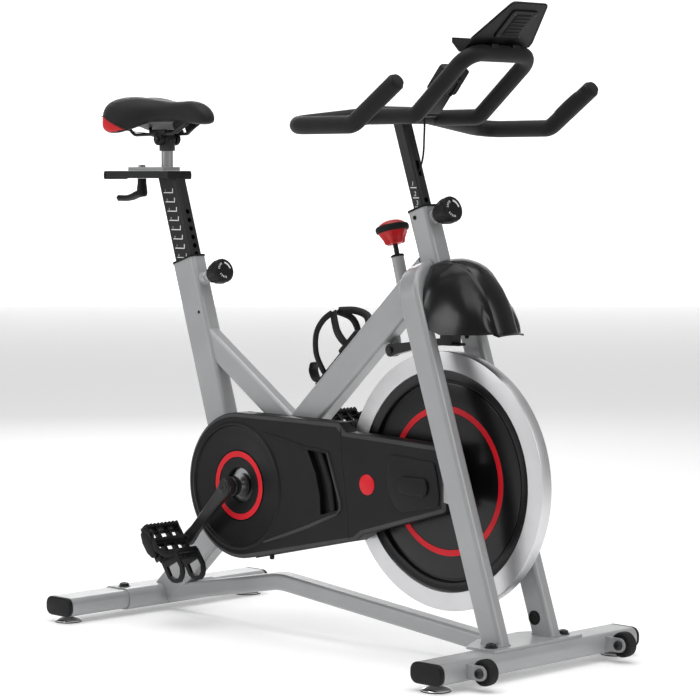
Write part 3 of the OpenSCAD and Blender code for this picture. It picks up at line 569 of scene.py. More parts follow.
# In the dish, index 2 is painted shade on the outer wall of the groove outside the red ring and in the
# hub opening.
lathe("guard_dish", [
    (136, face - 0.5), (134.5, face + 0.4), (132.4, face + 2.2), (130, face + 2.8), (127.6, face + 2.2),
    (125.6, face + 0.2),
    (124.4, face - 1.6), (122, face - 2.2), (116, face - 2.4), (100, face - 4.6), (80, face - 7.4),
    (75.5, face - 8),
    (74.4, face - 9.4), (72.6, face - 9.4), (72, face - 7), (60, face - 7), (59, face - 8.2),
    (44, face - 8.6), (38, face - 9.4),
    (36.4, face - 12), (36, face - 20), (30, face - 30), (0, face - 30)],
    "frame", [PLASTIC, RED_PAINT, SEAM_AND_RECESS_SHADE], place(gx, gz, axis="r"), seg=128,
    picks=[0] * 11 + [2, 0, 0, 1, 0, 0, 0, 0, 2, 2, 2], sharp=28)
prism("guard_slot_floor", inset(slot_line, -1), 47, 50, "frame", PLASTIC, at=side, bevel=0)
rib = [(44, 391), (60, 389), (88, 330), (98, 268), (84, 266), (72, 322)]
prism("guard_slot_rib", rib, 49, 57, "frame", PLASTIC, at=side, bevel=5, cuts=4)


# By default the ridge takes the lighter plastic, a painted highlight.
def strip(name, pts, width, h, body="frame", mat=None, base=face - 0.4):
    """A low bevelled ridge along a path on the guard's face."""
    pts = [Vector(p) for p in pts]
    rings = []
    for i, p in enumerate(pts):
        d = (pts[min(i + 1, len(pts) - 1)] - pts[max(i - 1, 0)]).normalized()
        n = Vector((-d.y, d.x))
        t = width * (0.25 if i in (0, len(pts) - 1) and width > 3 else 0.5)
        row = [(-t, base), (-t * 0.55, base + h), (t * 0.55, base + h), (t, base)]
        rings.append([side @ Vector((p.x + n.x * a, p.y + n.y * a, b)) for a, b in row])
    return loft(name, rings, body, mat or PLASTIC_PAINTED_HIGHLIGHT, sharp=20)


# The lower fin and the side frame take the lighter plastic: painted highlight along their ridges.
strip("guard_fin_low", [(-104, 190), (-40, 211), (30, 236), (80, 256), (114, 269)], 8, 3.2)
strip("guard_frame_side", [(113, 270), (119.5, 279), (119, 292), (101, 340), (83, 390)], 7, 3.2)
strip("guard_fin_top", [(84, 391), (50, 395), (20, 395), (-40, 407), (-100, 417)], 6, 2.4, mat=PLASTIC)
panel = [(250, 383), (258, 397), (266, 400), (372, 393), (379, 388), (386, 362), (391, 330), (389, 309),
    (380, 305), (296, 288), (284, 290), (266, 304), (251, 330)]
prism("guard_panel", panel[::-1], face - 1, face + 2.6, "frame", PLASTIC, at=side, bevel=2.2, cuts=3)
oval = [(283 + 14, 360), (352, 360), (361, 354), (363.5, 342), (361, 329), (352, 323.5), (297, 323.5),
    (286, 330), (283.5, 342), (286, 354)]
prism("guard_bump", oval[::-1], face + 1.5, face + 8, "frame", PLASTIC, at=side, bevel=3.4, cuts=4)
# A lighter ring round the bump: painted highlight on its edge.
prism("guard_bump_highlight_ring", inset(oval, -2.5)[::-1], face + 2.2, face + 3.1, "frame", PLASTIC_PAINTED_HIGHLIGHT, at=side,
    bevel=0.4)
lathe("guard_disc", [(20.5, face - 0.5), (20.5, face + 0.8), (19.6, face + 1.4), (0, face + 1.4)],
    "frame", RED_PAINT, place(194, 334, axis="r"), seg=48)
strip("guard_seam", [(119, 442), (122, 400), (131, 330), (141, 260), (143, 219)], 1.6, 0.7, mat=SEAM_AND_RECESS_SHADE,
    base=face - 0.5)
for n, (x, z) in enumerate(((-103, 157), (40, 204), (250, 261))):
    lathe(f"guard_screw_{n}", [(0, -6), (5, -6), (5, 2), (3.5, 3.5), (0, 3.5)], "frame", PLASTIC,
        moved((x, -40, z - 2)) @ Matrix.Rotation(math.pi, 4, "X"), seg=20)

# ---------- hood

crease = [(505, 645), (498, 662), (490, 684), (479, 707), (466, 727), (451, 744), (439, 757), (425, 767),
    (408, 774), (391, 777.5), (375, 777), (360, 775), (349, 771.5), (339, 767)]
last = len(crease) - 1


def hood_edge(t):
    """The side plate's outer edge: along the bottom from the front, then up the front of the leg."""
    if t < 0.5:
        s = t / 0.5
        a = s * math.pi / 2
        x = 380 + 123 * math.cos(a) ** 0.8
        y = 34 + 45 * math.sin(a) ** 0.8
        return Vector((x, y, 645 - 3 * s))
    s = (t - 0.5) / 0.5
    z = 642 + 125 * s
    y = 79 if z < 695 else 79 - 43 * ((z - 695) / 72) ** 1.7
    return Vector((380.4 - 0.3346 * (z - 642), y, z))


cols = 9
rows_side = 8
grid = []
for i, (cx, cz) in enumerate(crease):
    t = i / last
    nxt, prv = crease[min(i + 1, last)], crease[max(i - 1, 0)]
    d = Vector((nxt[0] - prv[0], 0, nxt[1] - prv[1])).normalized()
    out = Vector((d.z, 0, -d.x))
    half = 34 + 2 * t
    e = hood_edge(t)
    row = []
    for j in range(rows_side + 1):
        s = 1 - j / rows_side
        p = Vector((cx, half, cz)).lerp(e, s)
        p += (Vector((0.25, 1, 0.1)) * 9 * math.sin(math.pi * s) * min(1, 4 * (1 - t), 4 * t + 0.1))
        row.append(p)
    for j in range(1, cols * 2):
        y = half * (1 - j / cols)
        row.append(Vector((cx, y, cz)) + out * (3.2 + 6.5 * (1 - (y / half) ** 2)))
    row += [Vector((p.x, -p.y, p.z)) for p in reversed(row[:rows_side + 1])]
    grid.append(row)
lip = []
for p in grid[0]:
    grow = Vector((p.x - 440, p.y * 0.25, 0)).normalized()
    lip.append(p + grow * (14 if abs(p.y) < 44 else 2.5) + Vector((0, 0, -2.5)))
grid.insert(0, lip)
w = len(grid[0])
verts = [tuple(p) for r in grid for p in r]
faces = [(i * w + j, (i + 1) * w + j, (i + 1) * w + j + 1,
    i * w + j + 1) for i in range(len(grid) - 1) for j in range(w - 1)]
piece("hood_shell", verts, faces, "frame", GLOSS, solid=2.6, sharp=40, hides="hood")

# ---------- handlebar

HORN, LOOP_Y = 282, 91
outer = [(486, -280, 1122), (372, -HORN, 1042), (192, -HORN, 1042), (236, -70, 1066), (236, 70, 1066),
    (192, HORN, 1042), (372, HORN, 1042), (486, 280, 1122)]
tube("bar_outer", rounded(outer, 42, 14), 17, "bars", FOAM, ring=32, dome=0.45, hides="handlebar",
    sharp=50)
loop = [(228, LOOP_Y, 1062), (352, LOOP_Y, 1062), (490, LOOP_Y, 1178), (490, -LOOP_Y, 1178),
    (352, -LOOP_Y, 1062), (228, -LOOP_Y, 1062)]
tube("bar_loop", rounded(loop, 36, 14), 16, "bars", FOAM, ring=32, dome=0.3, sharp=50)
for s, tag in SIDES:
    a, b = Vector((372, s * HORN, 1042)), Vector((486, s * 280, 1122))
    d = (b - a).normalized()
    up = Vector((-d.z, 0, d.x))
    off = Vector((0, -s * 7.5, 0)) + up * 3.5
    tube(f"grip_pad_{tag}", [a + d * k + off for k in (34, 50, 70, 92, 108)],
        lambda q: 11.5 + 1.2 * math.sin(math.pi * q), "bars", FOAM, ring=20, dome=0.5, sharp=50)
    tube(f"grip_thumb_{tag}", [b + d * k + Vector((0, -s * 11, 0)) + up * 4 for k in (-24, -16, -9, -3)],
        8, "bars", FOAM, ring=18, dome=0.8, sharp=50)
    lathe(f"grip_cap_{tag}", [(0, 2.2), (9, 2), (12.6, 0.8), (13.4, -1), (13.4, -3)], "bars", RUBBER,
        moved(b) @ d.to_track_quat("Z", "Y").to_matrix().to_4x4(), seg=32)

# ---------- saddle


def section(x, w, top, low, groove=0.0, n=40):
    """One ring of the saddle: a crowned top, full sides and a flat underside."""
    out = []
    mid = low + (top - low) * 0.42
    for i in range(n):
        a = 2 * math.pi * i / n
        c, s = math.cos(a), math.sin(a)
        y = w * math.copysign(abs(c) ** 0.7, c)
        z = mid + ((top - mid) * abs(s) ** 0.8 if s > 0 else -(mid - low) * abs(s) ** 0.55)
        if s > 0:
            z -= groove * math.exp(-(y / 11.0) ** 2)
        if s < 0:
            y *= 1 - 0.08 * abs(s)
            z += min(34, max(0, w - 40) * 0.75) * (1 - min(1, abs(y) / w) ** 2) * abs(s)
        out.append(Vector((x, y, z)))
    return out


STATIONS = [
    (-613, 40, 1094, 1060, 0), (-610.5, 60, 1103, 1046, 0), (-605, 72, 1109, 1035, 0.5),
    (-595, 82, 1113.5, 1027, 2),
    (-580, 88, 1116.5, 1022, 3.5), (-562, 90, 1118, 1020, 4.5), (-542, 87, 1118, 1023, 5),
    (-522, 79, 1116.5, 1031, 5),
    (-502, 67, 1113.5, 1043, 4.5), (-482, 54, 1110, 1055, 3.5), (-462, 43, 1107, 1061, 2),
    (-442, 35, 1105, 1064, 1),
    (-420, 30, 1104.5, 1063, 0), (-398, 27.5, 1105.5, 1060, 0), (-378, 26, 1105, 1057, 0),
    (-360, 24.5, 1101, 1055.5, 0),
    (-346, 22, 1094, 1055, 0), (-336, 18, 1085, 1056, 0), (-330, 12.5, 1077, 1059, 0),
    (-328, 6, 1071, 1062, 0)]


def red_line(x):
    return 1075 if x < -582 else 1075 - (x + 582) * 0.5


pad = loft("saddle_pad", [section(*s) for s in STATIONS], "saddle_top", [VINYL, VINYL_RED, PLASTIC],
    sub=2, sharp=60, hides="saddle")
# How far the cloth may swell above and below the pad's rim, in metres
SWELL_TOP, SWELL_UNDER, PAD_RIM_Z = 0.0016, 0.0003, 1.062
CLOTH_FRAMES = 20
bpy.context.view_layer.objects.active = pad
vox = pad.modifiers.new("voxels", "REMESH")
vox.mode = "VOXEL"
vox.voxel_size = 0.005
bake(pad)
before = [v.co.copy() for v in pad.data.vertices]
cloth = pad.modifiers.new("cloth", "CLOTH")
cloth.settings.use_pressure = True
cloth.settings.uniform_pressure_force = 4
cloth.settings.quality = 6
cloth.settings.tension_stiffness = 40
cloth.settings.compression_stiffness = 40
cloth.settings.effector_weights.gravity = 0
cloth.point_cache.frame_start = 1
cloth.point_cache.frame_end = CLOTH_FRAMES
for f in range(1, CLOTH_FRAMES + 1):
    scene.frame_set(f)
ev = pad.evaluated_get(bpy.context.evaluated_depsgraph_get())
after = [v.co.copy() for v in ev.to_mesh().vertices]
ev.to_mesh_clear()
pad.modifiers.clear()
scene.frame_set(1)
for v, a, b in zip(pad.data.vertices, before, after):
    step = b - a
    cap = SWELL_TOP if a.z > PAD_RIM_Z else SWELL_UNDER
    v.co = a + (step if step.length < cap else step.normalized() * cap)
for _ in range(3):
    smooth = pad.modifiers.new("even", "SMOOTH")
    smooth.factor = 0.5
    smooth.iterations = 2
    bake(pad)
more = pad.modifiers.new("sub", "SUBSURF")
more.levels = more.render_levels = 1
bake(pad)
pad.data.shade_smooth()
for m in (VINYL, VINYL_RED, PLASTIC):
    if m.name not in pad.data.materials:
        pad.data.materials.append(m)
for p in pad.data.polygons:
    c = p.center / MM
    if p.normal.z < -0.8 and c.z < 1062:
        p.material_index = 2
    elif c.x < -490 and c.z < red_line(c.x) and abs(c.y) > 12:
        p.material_index = 1
    else:
        p.material_index = 0


def on_pad(x, z, side):
    """The pad's surface at a place along it, on one side."""
    s = sorted(STATIONS)
    for a, b in zip(s, s[1:]):
        if a[0] <= x <= b[0]:
            t = (x - a[0]) / (b[0] - a[0])
            w, top, low = (a[k] + (b[k] - a[k]) * t for k in (1, 2, 3))
            mid = low + (top - low) * 0.42
            if z >= mid:
                q = min(1, ((z - mid) / (top - mid)) ** (1 / 0.8))
            else:
                q = min(1, ((mid - z) / (mid - low)) ** (1 / 0.55))
            return Vector((x, side * w * math.sqrt(max(0, 1 - q * q)) ** 0.7, z))
    return None


for s, tag in SIDES:
    line = [on_pad(x, red_line(x), s) for x in range(-604, -497, 7)]
    tube(f"saddle_seam_{tag}", [p + Vector((0, s * 0.3, 0)) for p in line if p], 0.9, "saddle_top", VINYL,
        ring=8, dome=0.5)
# Rails and clamp under the saddle
px, tz = -472, 1026
for s, tag in SIDES:
    line = rounded([(-575, s * 38, 1066), (-552, s * 24, 1035), (-430, s * 22, 1037),
        (-374, s * 13, 1068)], 13, 8)
    tube(f"saddle_rail_{tag}", line, 3.6, "saddle_top", STEEL, ring=16, dome=0.4,
        hides="saddle_rails" if s < 0 else "")
    at = facing(px, s * 23, tz, -s)
    lathe(f"clamp_cheek_{tag}", [(0, -5), (13.4, -5), (14, -4), (14, 3.4), (12.6, 5), (7, 5), (6.6, 6.6),
        (0, 6.6)], "saddle_top", PLASTIC, at, seg=40)
    box_piece(f"clamp_jaw_{tag}", (-24, -5, 8), (24, 5, 20), "saddle_top", PLASTIC,
        at=moved((px, s * 23, tz)), bevel=2.5)
    prism(f"clamp_nut_{tag}", [polar(6.2, 60 * i) for i in range(6)], 6, 10.5, "saddle_top", STEEL, at=at,
        bevel=0.7)
    box_piece(f"saddle_bridge_{tag}", (-22, -3, 0), (22, 3, 26), "saddle_top", PLASTIC,
        at=place(-404, 1046, 28, y=s * 16), bevel=2)
lathe("clamp_sleeve", [(12.6, 1000), (16.4, 1000), (17, 1001), (17.2, 1022), (16, 1026), (0, 1027)],
    "seat_slider", STEEL, place(px, 0), seg=48, hides="saddle_clamp")
tube("clamp_barrel", [(px, -15.2, tz), (px, 15.2, tz)], 12.6, "seat_slider", STEEL, ring=32, dome=0.15)
box_piece("clamp_tongue", (-25, -9, -8), (-10, 9, 9), "seat_slider", PLASTIC, at=place(px, tz, 8),
    bevel=3)
box_piece("clamp_bolt", (-34, -6, -6), (-24, 6, 6), "seat_slider", STEEL, at=place(px, tz, 8), bevel=2.4,
    cuts=3)

# Post, plate, rail ends and lever
lathe("saddle_post", [(13, 965.4), (13, 965.9), (12.6, 966.4), (12.6, 1002)], "seat_slider", POST_METAL,
    place(px, 0), seg=56)
for s, tag in SIDES:
    box_piece(f"post_groove_{tag}", (-2, -0.7, 966), (2, 0.7, 1000), "seat_slider", PAINT_DARK,
        at=moved((px - 1.5 * s, s * 12.4, 0)), bevel=0.5)
lathe("plate_bolt", [(0, 971.4), (4, 971.2), (7, 970.2), (8, 968.4), (8, 965.3), (0, 965.3)],
    "slider_lever", PIN_STEEL, place(-556, 0), seg=28)
r_lo, r_hi = span("seat_rail")
for tag, x0, x1 in (("rear", r_lo[0] - 0.3, r_lo[0] + 6.4), ("front", r_hi[0] - 6.4, r_hi[0] + 0.3)):
    end = [(-33, 940), (-30, 938.8), (30, 938.8), (33, 940), (33.6, 948), (32.6, 955.8), (30, 957),
        (-30, 957), (-32.6, 955.8), (-33.6, 948)]
    prism(f"rail_cap_{tag}", end, x0, x1, "seat_mast", PLASTIC, at=ALONG_X, bevel=1.8, cuts=3)
lx = -556
lathe("lever_boss", [(0, 940.6), (9.6, 940.6), (9.8, 930), (11, 922), (12, 910), (11.4, 904), (8, 901),
    (0, 900.4)], "slider_lever", PLASTIC, place(lx, 0), seg=40, hides="seat_lever")
grip = [Vector((lx, 0, 909)), Vector((lx - 14, 0, 906)), Vector((lx - 30, 0, 900.5)),
    Vector((lx - 48, 0, 897.5)), Vector((lx - 66, 0, 897)), Vector((lx - 79, 0, 899))]
tube("lever_grip", grip, lambda q: 8.6 - 2.6 * q, "slider_lever", PLASTIC, ring=20, dome=0.5, squash=1.5,
    start=(0, 0, 1))
for i in range(4):
    box_piece(f"lever_rib_{i}", (-1, -7, -6.6), (1, 7, 6.4), "slider_lever", PLASTIC,
        at=moved((lx - 55 - i * 6.5, 0, 897.4)), bevel=0.8)

# ---------- posts: scales, bolts and the lead's slot

SEAT_AT = place(-402.6, 765, 17.4)
HEAD_AT = place(288, 880, 18.5)


def on_right(at, x, y, z):
    """A frame on a post's right side, its z pointing out of the face and its y up the post."""
    return at @ moved((x, y, z)) @ FACE_RIGHT


for i in range(11):
    m = on_right(SEAT_AT, 10.5, -15, 148.7 - 20.8 * i) @ Matrix.Rotation(math.radians(-17.3), 4, "Z")
    box_piece(f"tick_{i}", (-30, -1, 0), (0, 1, 0.22), "seat_mast", PRINT, at=m, bevel=0)
    box_piece(f"tick_up_{i}", (-2.2, 1, 0), (0, 9, 0.22), "seat_mast", PRINT, at=m, bevel=0)
    text_mark(f"tick_number_{i}", str(i + 1), 6, "seat_mast", PRINT, m @ moved((-25, 4.6, -0.05)))
for i, z in enumerate((48, 27, 8.5)):
    m = on_right(HEAD_AT, 8.5, -14, z - 5) @ Matrix.Rotation(math.radians(-18), 4, "Z")
    box_piece(f"bar_tick_{i}", (-16, -1, 0), (0, 1, 0.22), "bars", PRINT, at=m, bevel=0)
    text_mark(f"bar_number_{i}", str(i + 1), 13, "bars", PRINT, m @ moved((-10, 7.5, -0.05)))
for i, z in enumerate((147, 111)):
    at = HEAD_AT @ facing(-14, 0, z, -1, "Y")
    lathe(f"bar_bolt_{i}", [(0, 5), (3.4, 4.7), (6, 3), (6.8, 0.6), (6.8, -1), (0, -1)], "bars", STEEL,
        at, seg=28)
# Dark strips on the post's face: painted shade standing for the lead's slot.
for s, tag in SIDES:
    box_piece(f"lead_slot_{tag}", (13.4, s * 4.6 - 0.8, 66), (14.2, s * 4.6 + 0.8, 98), "bars", SEAM_AND_RECESS_SHADE,
        at=HEAD_AT, bevel=0.5)

# ---------- pull knobs


def pull_knob(name, at, near, body, node):
    out = at @ facing(near, 0, 0, 1, "Y")
    prof = [(4.7, 0.4), (13.5, 0), (16.2, 0.8), (17.4, 2.6), (19, 8), (22.6, 19), (25, 27), (26, 31),
        (26.2, 37), (25.6, 41), (23.8, 43.6), (22, 44), (20.8, 43.2), (18, 42.6), (0, 43)]
    lathe(f"{name}_body", prof, body, PLASTIC, out, seg=72, hides=node)
    for i in range(12):
        m = out @ Matrix.Rotation(2 * math.pi * i / 12, 4, "Z")
        tube(f"{name}_flute_{i:02d}", [m @ Vector(p) for p in ((17.6, 0, 4), (20.9, 0, 14), (24.1, 0, 25),
            (25.6, 0, 34))], 1.9, body, PLASTIC, ring=8, dome=0.6)
    for k, (a0, a1, r, w) in enumerate(((100, 168, 16.5, 1.7), (-62, 10, 15.5, 2.2),
            (200, 262, 15.5, 2.2))):
        steps = 14
        angles = [a0 + (a1 - a0) * i / steps for i in range(steps + 1)]
        inner = [polar(r - w, a) for a in angles]
        outer_line = [polar(r + w, a) for a in angles]
        if k == 0:
            prism(f"{name}_mark_{k}", outer_line + inner[::-1], 42.5, 43.25, body, PRINT, at=out, bevel=0)
            continue
        for i in range(0, steps, 3):
            quad = [outer_line[i], outer_line[i + 1], inner[i + 1], inner[i]]
            prism(f"{name}_mark_{k}_{i}", quad, 42.4, 43.2, body, PRINT, at=out, bevel=0)


pull_knob("seat_knob", SEAT_AT @ moved((0, 0, -51)), 60, "seat_pull_knob", "seat_knob")
pull_knob("head_knob", HEAD_AT @ moved((0, 0, -22)), 34, "head_pull_knob", "head_knob")
for tag, at, x0, x1 in (("seat", SEAT_AT @ moved((0, 0, -51)), 34, 58.2),
        ("head", HEAD_AT @ moved((0, 0, -22)), 24, 33.4)):
    out = at @ Matrix.Rotation(math.pi / 2, 4, "Y")
    lathe(f"{tag}_collar", [(13.8, x0 - 0.5), (13.8, x0 + 1.6), (12.9, x0 + 2.4), (12.9, (x0 + x1) / 2),
        (10.8, (x0 + x1) / 2 + 1.2), (10.8, x1 - 1.2), (9.8, x1), (5, x1)], "frame", PAINT, out, seg=40)

# ---------- resistance knob

BRAKE_AT = place(224, 765, 15)
lathe("brake_dome", [(0, 97), (10, 96.4), (18, 94.4), (24.5, 90.8), (28.5, 86.8), (30, 84.4), (30.2, 80),
    (0, 80)], "brake_cap", RED, BRAKE_AT, seg=72, hides="brake_knob")
lathe("brake_band", [(29.6, 86), (31.6, 85.8), (33.2, 84), (34, 80.6), (33.6, 76.4), (32, 73.6),
    (29.6, 72.4)], "brake_cap", RUBBER, BRAKE_AT, seg=72, closed=True)
rings = []
for z, r, a in ((74, 30, 0.2), (72.4, 29.4, 0.6), (68, 27, 1.6), (62.5, 23, 2.6), (57, 19.8, 2.9),
        (52, 18.6, 2.8), (49, 17.6, 2.6), (48, 15.6, 2.2)):
    rings.append([BRAKE_AT @ Vector(((r + a * math.cos(6 * t)) * math.cos(t),
        (r + a * math.cos(6 * t)) * math.sin(t), z)) for t in (2 * math.pi * i / 96 for i in range(96))])
loft("brake_skirt", rings, "brake_cap", RED, sharp=50)
lathe("brake_sleeve_rim", [(5.7, 26.4), (11.6, 26.4), (13.2, 25.6), (13.4, 22), (12.4, 21.2)], "frame",
    PLASTIC, BRAKE_AT, seg=40)
box_piece("brake_pad", (372, -11, 616.6), (392, 11, 622), "brake_lever", BELT, bevel=1.5)
for s, tag in SIDES:
    lathe(f"arm_bolt_{tag}", [(0, 4.4), (4, 4), (6.6, 2.6), (7.6, 0.4), (7.6, -1), (0, -1)], "frame",
        STEEL, facing(207, s * (12 if s < 0 else 18), 600, -s), seg=28)

# ---------- console and tray

CON = place(352, 1134, 50)


def soft_box(name, lo, hi, r, body, mat, at, **k):
    """A box with rounded plan corners and softened edges."""
    o = []
    for cx, cy, a0 in ((hi[0] - r, hi[1] - r, 0), (lo[0] + r, hi[1] - r, 90), (lo[0] + r, lo[1] + r, 180),
            (hi[0] - r, lo[1] + r, 270)):
        o += [polar(r, a0 + t, cx, cy) for t in (0, 30, 60, 90)]
    k.setdefault("bevel", 1.6)
    return prism(name, o, lo[2], hi[2], body, mat, at=at, **k)


soft_box("console_shell", (-31, -35, -12), (31, 35, 9.4), 7, "bars", PLASTIC, CON, bevel=3, cuts=4,
    hides="console")
soft_box("console_frame", (-9.5, -29, 9), (27, 29, 10.6), 4, "bars", GLOSS, CON, bevel=0.7)
soft_box("console_screen", (-6, -25, 10.2), (23.5, 25, 11), 2.5, "bars", GLASS, CON, bevel=0.3)
soft_box("console_arm", (-79.5, -24, -11.5), (-22, 24, -2.6), 7, "bars", PLASTIC, CON, bevel=2.4)
box_piece("console_foot", (250, -20.4, 1061.6), (307.6, 20.4, 1071.4), "bars", PLASTIC, bevel=2.6)
soft_box("console_back", (-22, -20, -19), (14, 20, -11), 5, "bars", PLASTIC, CON, bevel=2.6)
for s, tag in SIDES:
    box_piece(f"console_rib_{tag}", (-26, s * 9 - 1.5, -22), (6, s * 9 + 1.5, -12), "bars", PLASTIC,
        at=CON, bevel=1)
TRAY = Matrix(((0, 0.731354, 0.681998, 481), (1, 0, 0, 0), (0, 0.681998, -0.731354, 1196.5),
    (0, 0, 0, 1)))
plate = [(-84, -3.4), (84, -3.4), (86, -1), (86, 12), (85, 15), (50.5, 104), (47, 108), (43, 109.5),
    (-43, 109.5), (-47, 108), (-50.5, 104), (-85, 15), (-86, 12), (-86, -1)]
prism("tray_plate", plate, 0, 4, "bars", PLASTIC, at=TRAY, bevel=1.3, cuts=3, hides="tray")
rimline = [TRAY @ Vector((x, y, 2)) for x, y in plate[2:13]]
tube("tray_edge", rimline, 2.9, "bars", PLASTIC, ring=12, dome=0.5, start=(1, 0, 0.2))
soft_box("tray_back", (-36, 22, 3.6), (36, 94, 8), 6, "bars", PLASTIC, TRAY, bevel=1.8, cuts=3)
# A dark patch on the tray's back: painted shade standing for a well.
soft_box("tray_back_well", (-22, 32, 7.6), (22, 86, 9.2), 4, "bars", SEAM_AND_RECESS_SHADE, TRAY, bevel=0.8)
for i in range(6):
    box_piece(f"tray_rib_{i}", (-20, 38 + i * 8.6, 8.6), (20, 40.6 + i * 8.6, 10.4), "bars", PLASTIC,
        at=TRAY, bevel=0.7)
for i, x in enumerate((-29, 29)):
    for j, y in enumerate((30, 86)):
        lathe(f"tray_screw_{i}{j}", [(0, 9.4), (2.4, 9.2), (3.4, 8), (0, 8)], "bars", STEEL,
            TRAY @ moved((x, y, 0)), seg=16)
shelf = [(439.6, 1199), (439.6, 1207), (440.8, 1208.3), (443, 1208.3), (444.4, 1207), (445.4, 1203.4),
    (490, 1203.4), (484.5, 1195.6), (466.4, 1180.6), (457.6, 1180.6)]
prism("tray_shelf", shelf, -84.6, 84.6, "bars", PLASTIC, at=ALONG_Y, bevel=0.9, cuts=2)
for s, tag in SIDES:
    box_piece(f"tray_block_{tag}", (477, s * 30 - 10.5, 1178), (503, s * 30 + 10.5, 1196), "bars",
        PLASTIC, bevel=2.5)
for i in range(9):
    box_piece(f"tray_grip_{i}", (449 + i * 3.8, -60, 1203), (450.6 + i * 3.8, 60, 1204.2), "bars", RUBBER,
        bevel=0.3)

# ---------- cranks and pedals

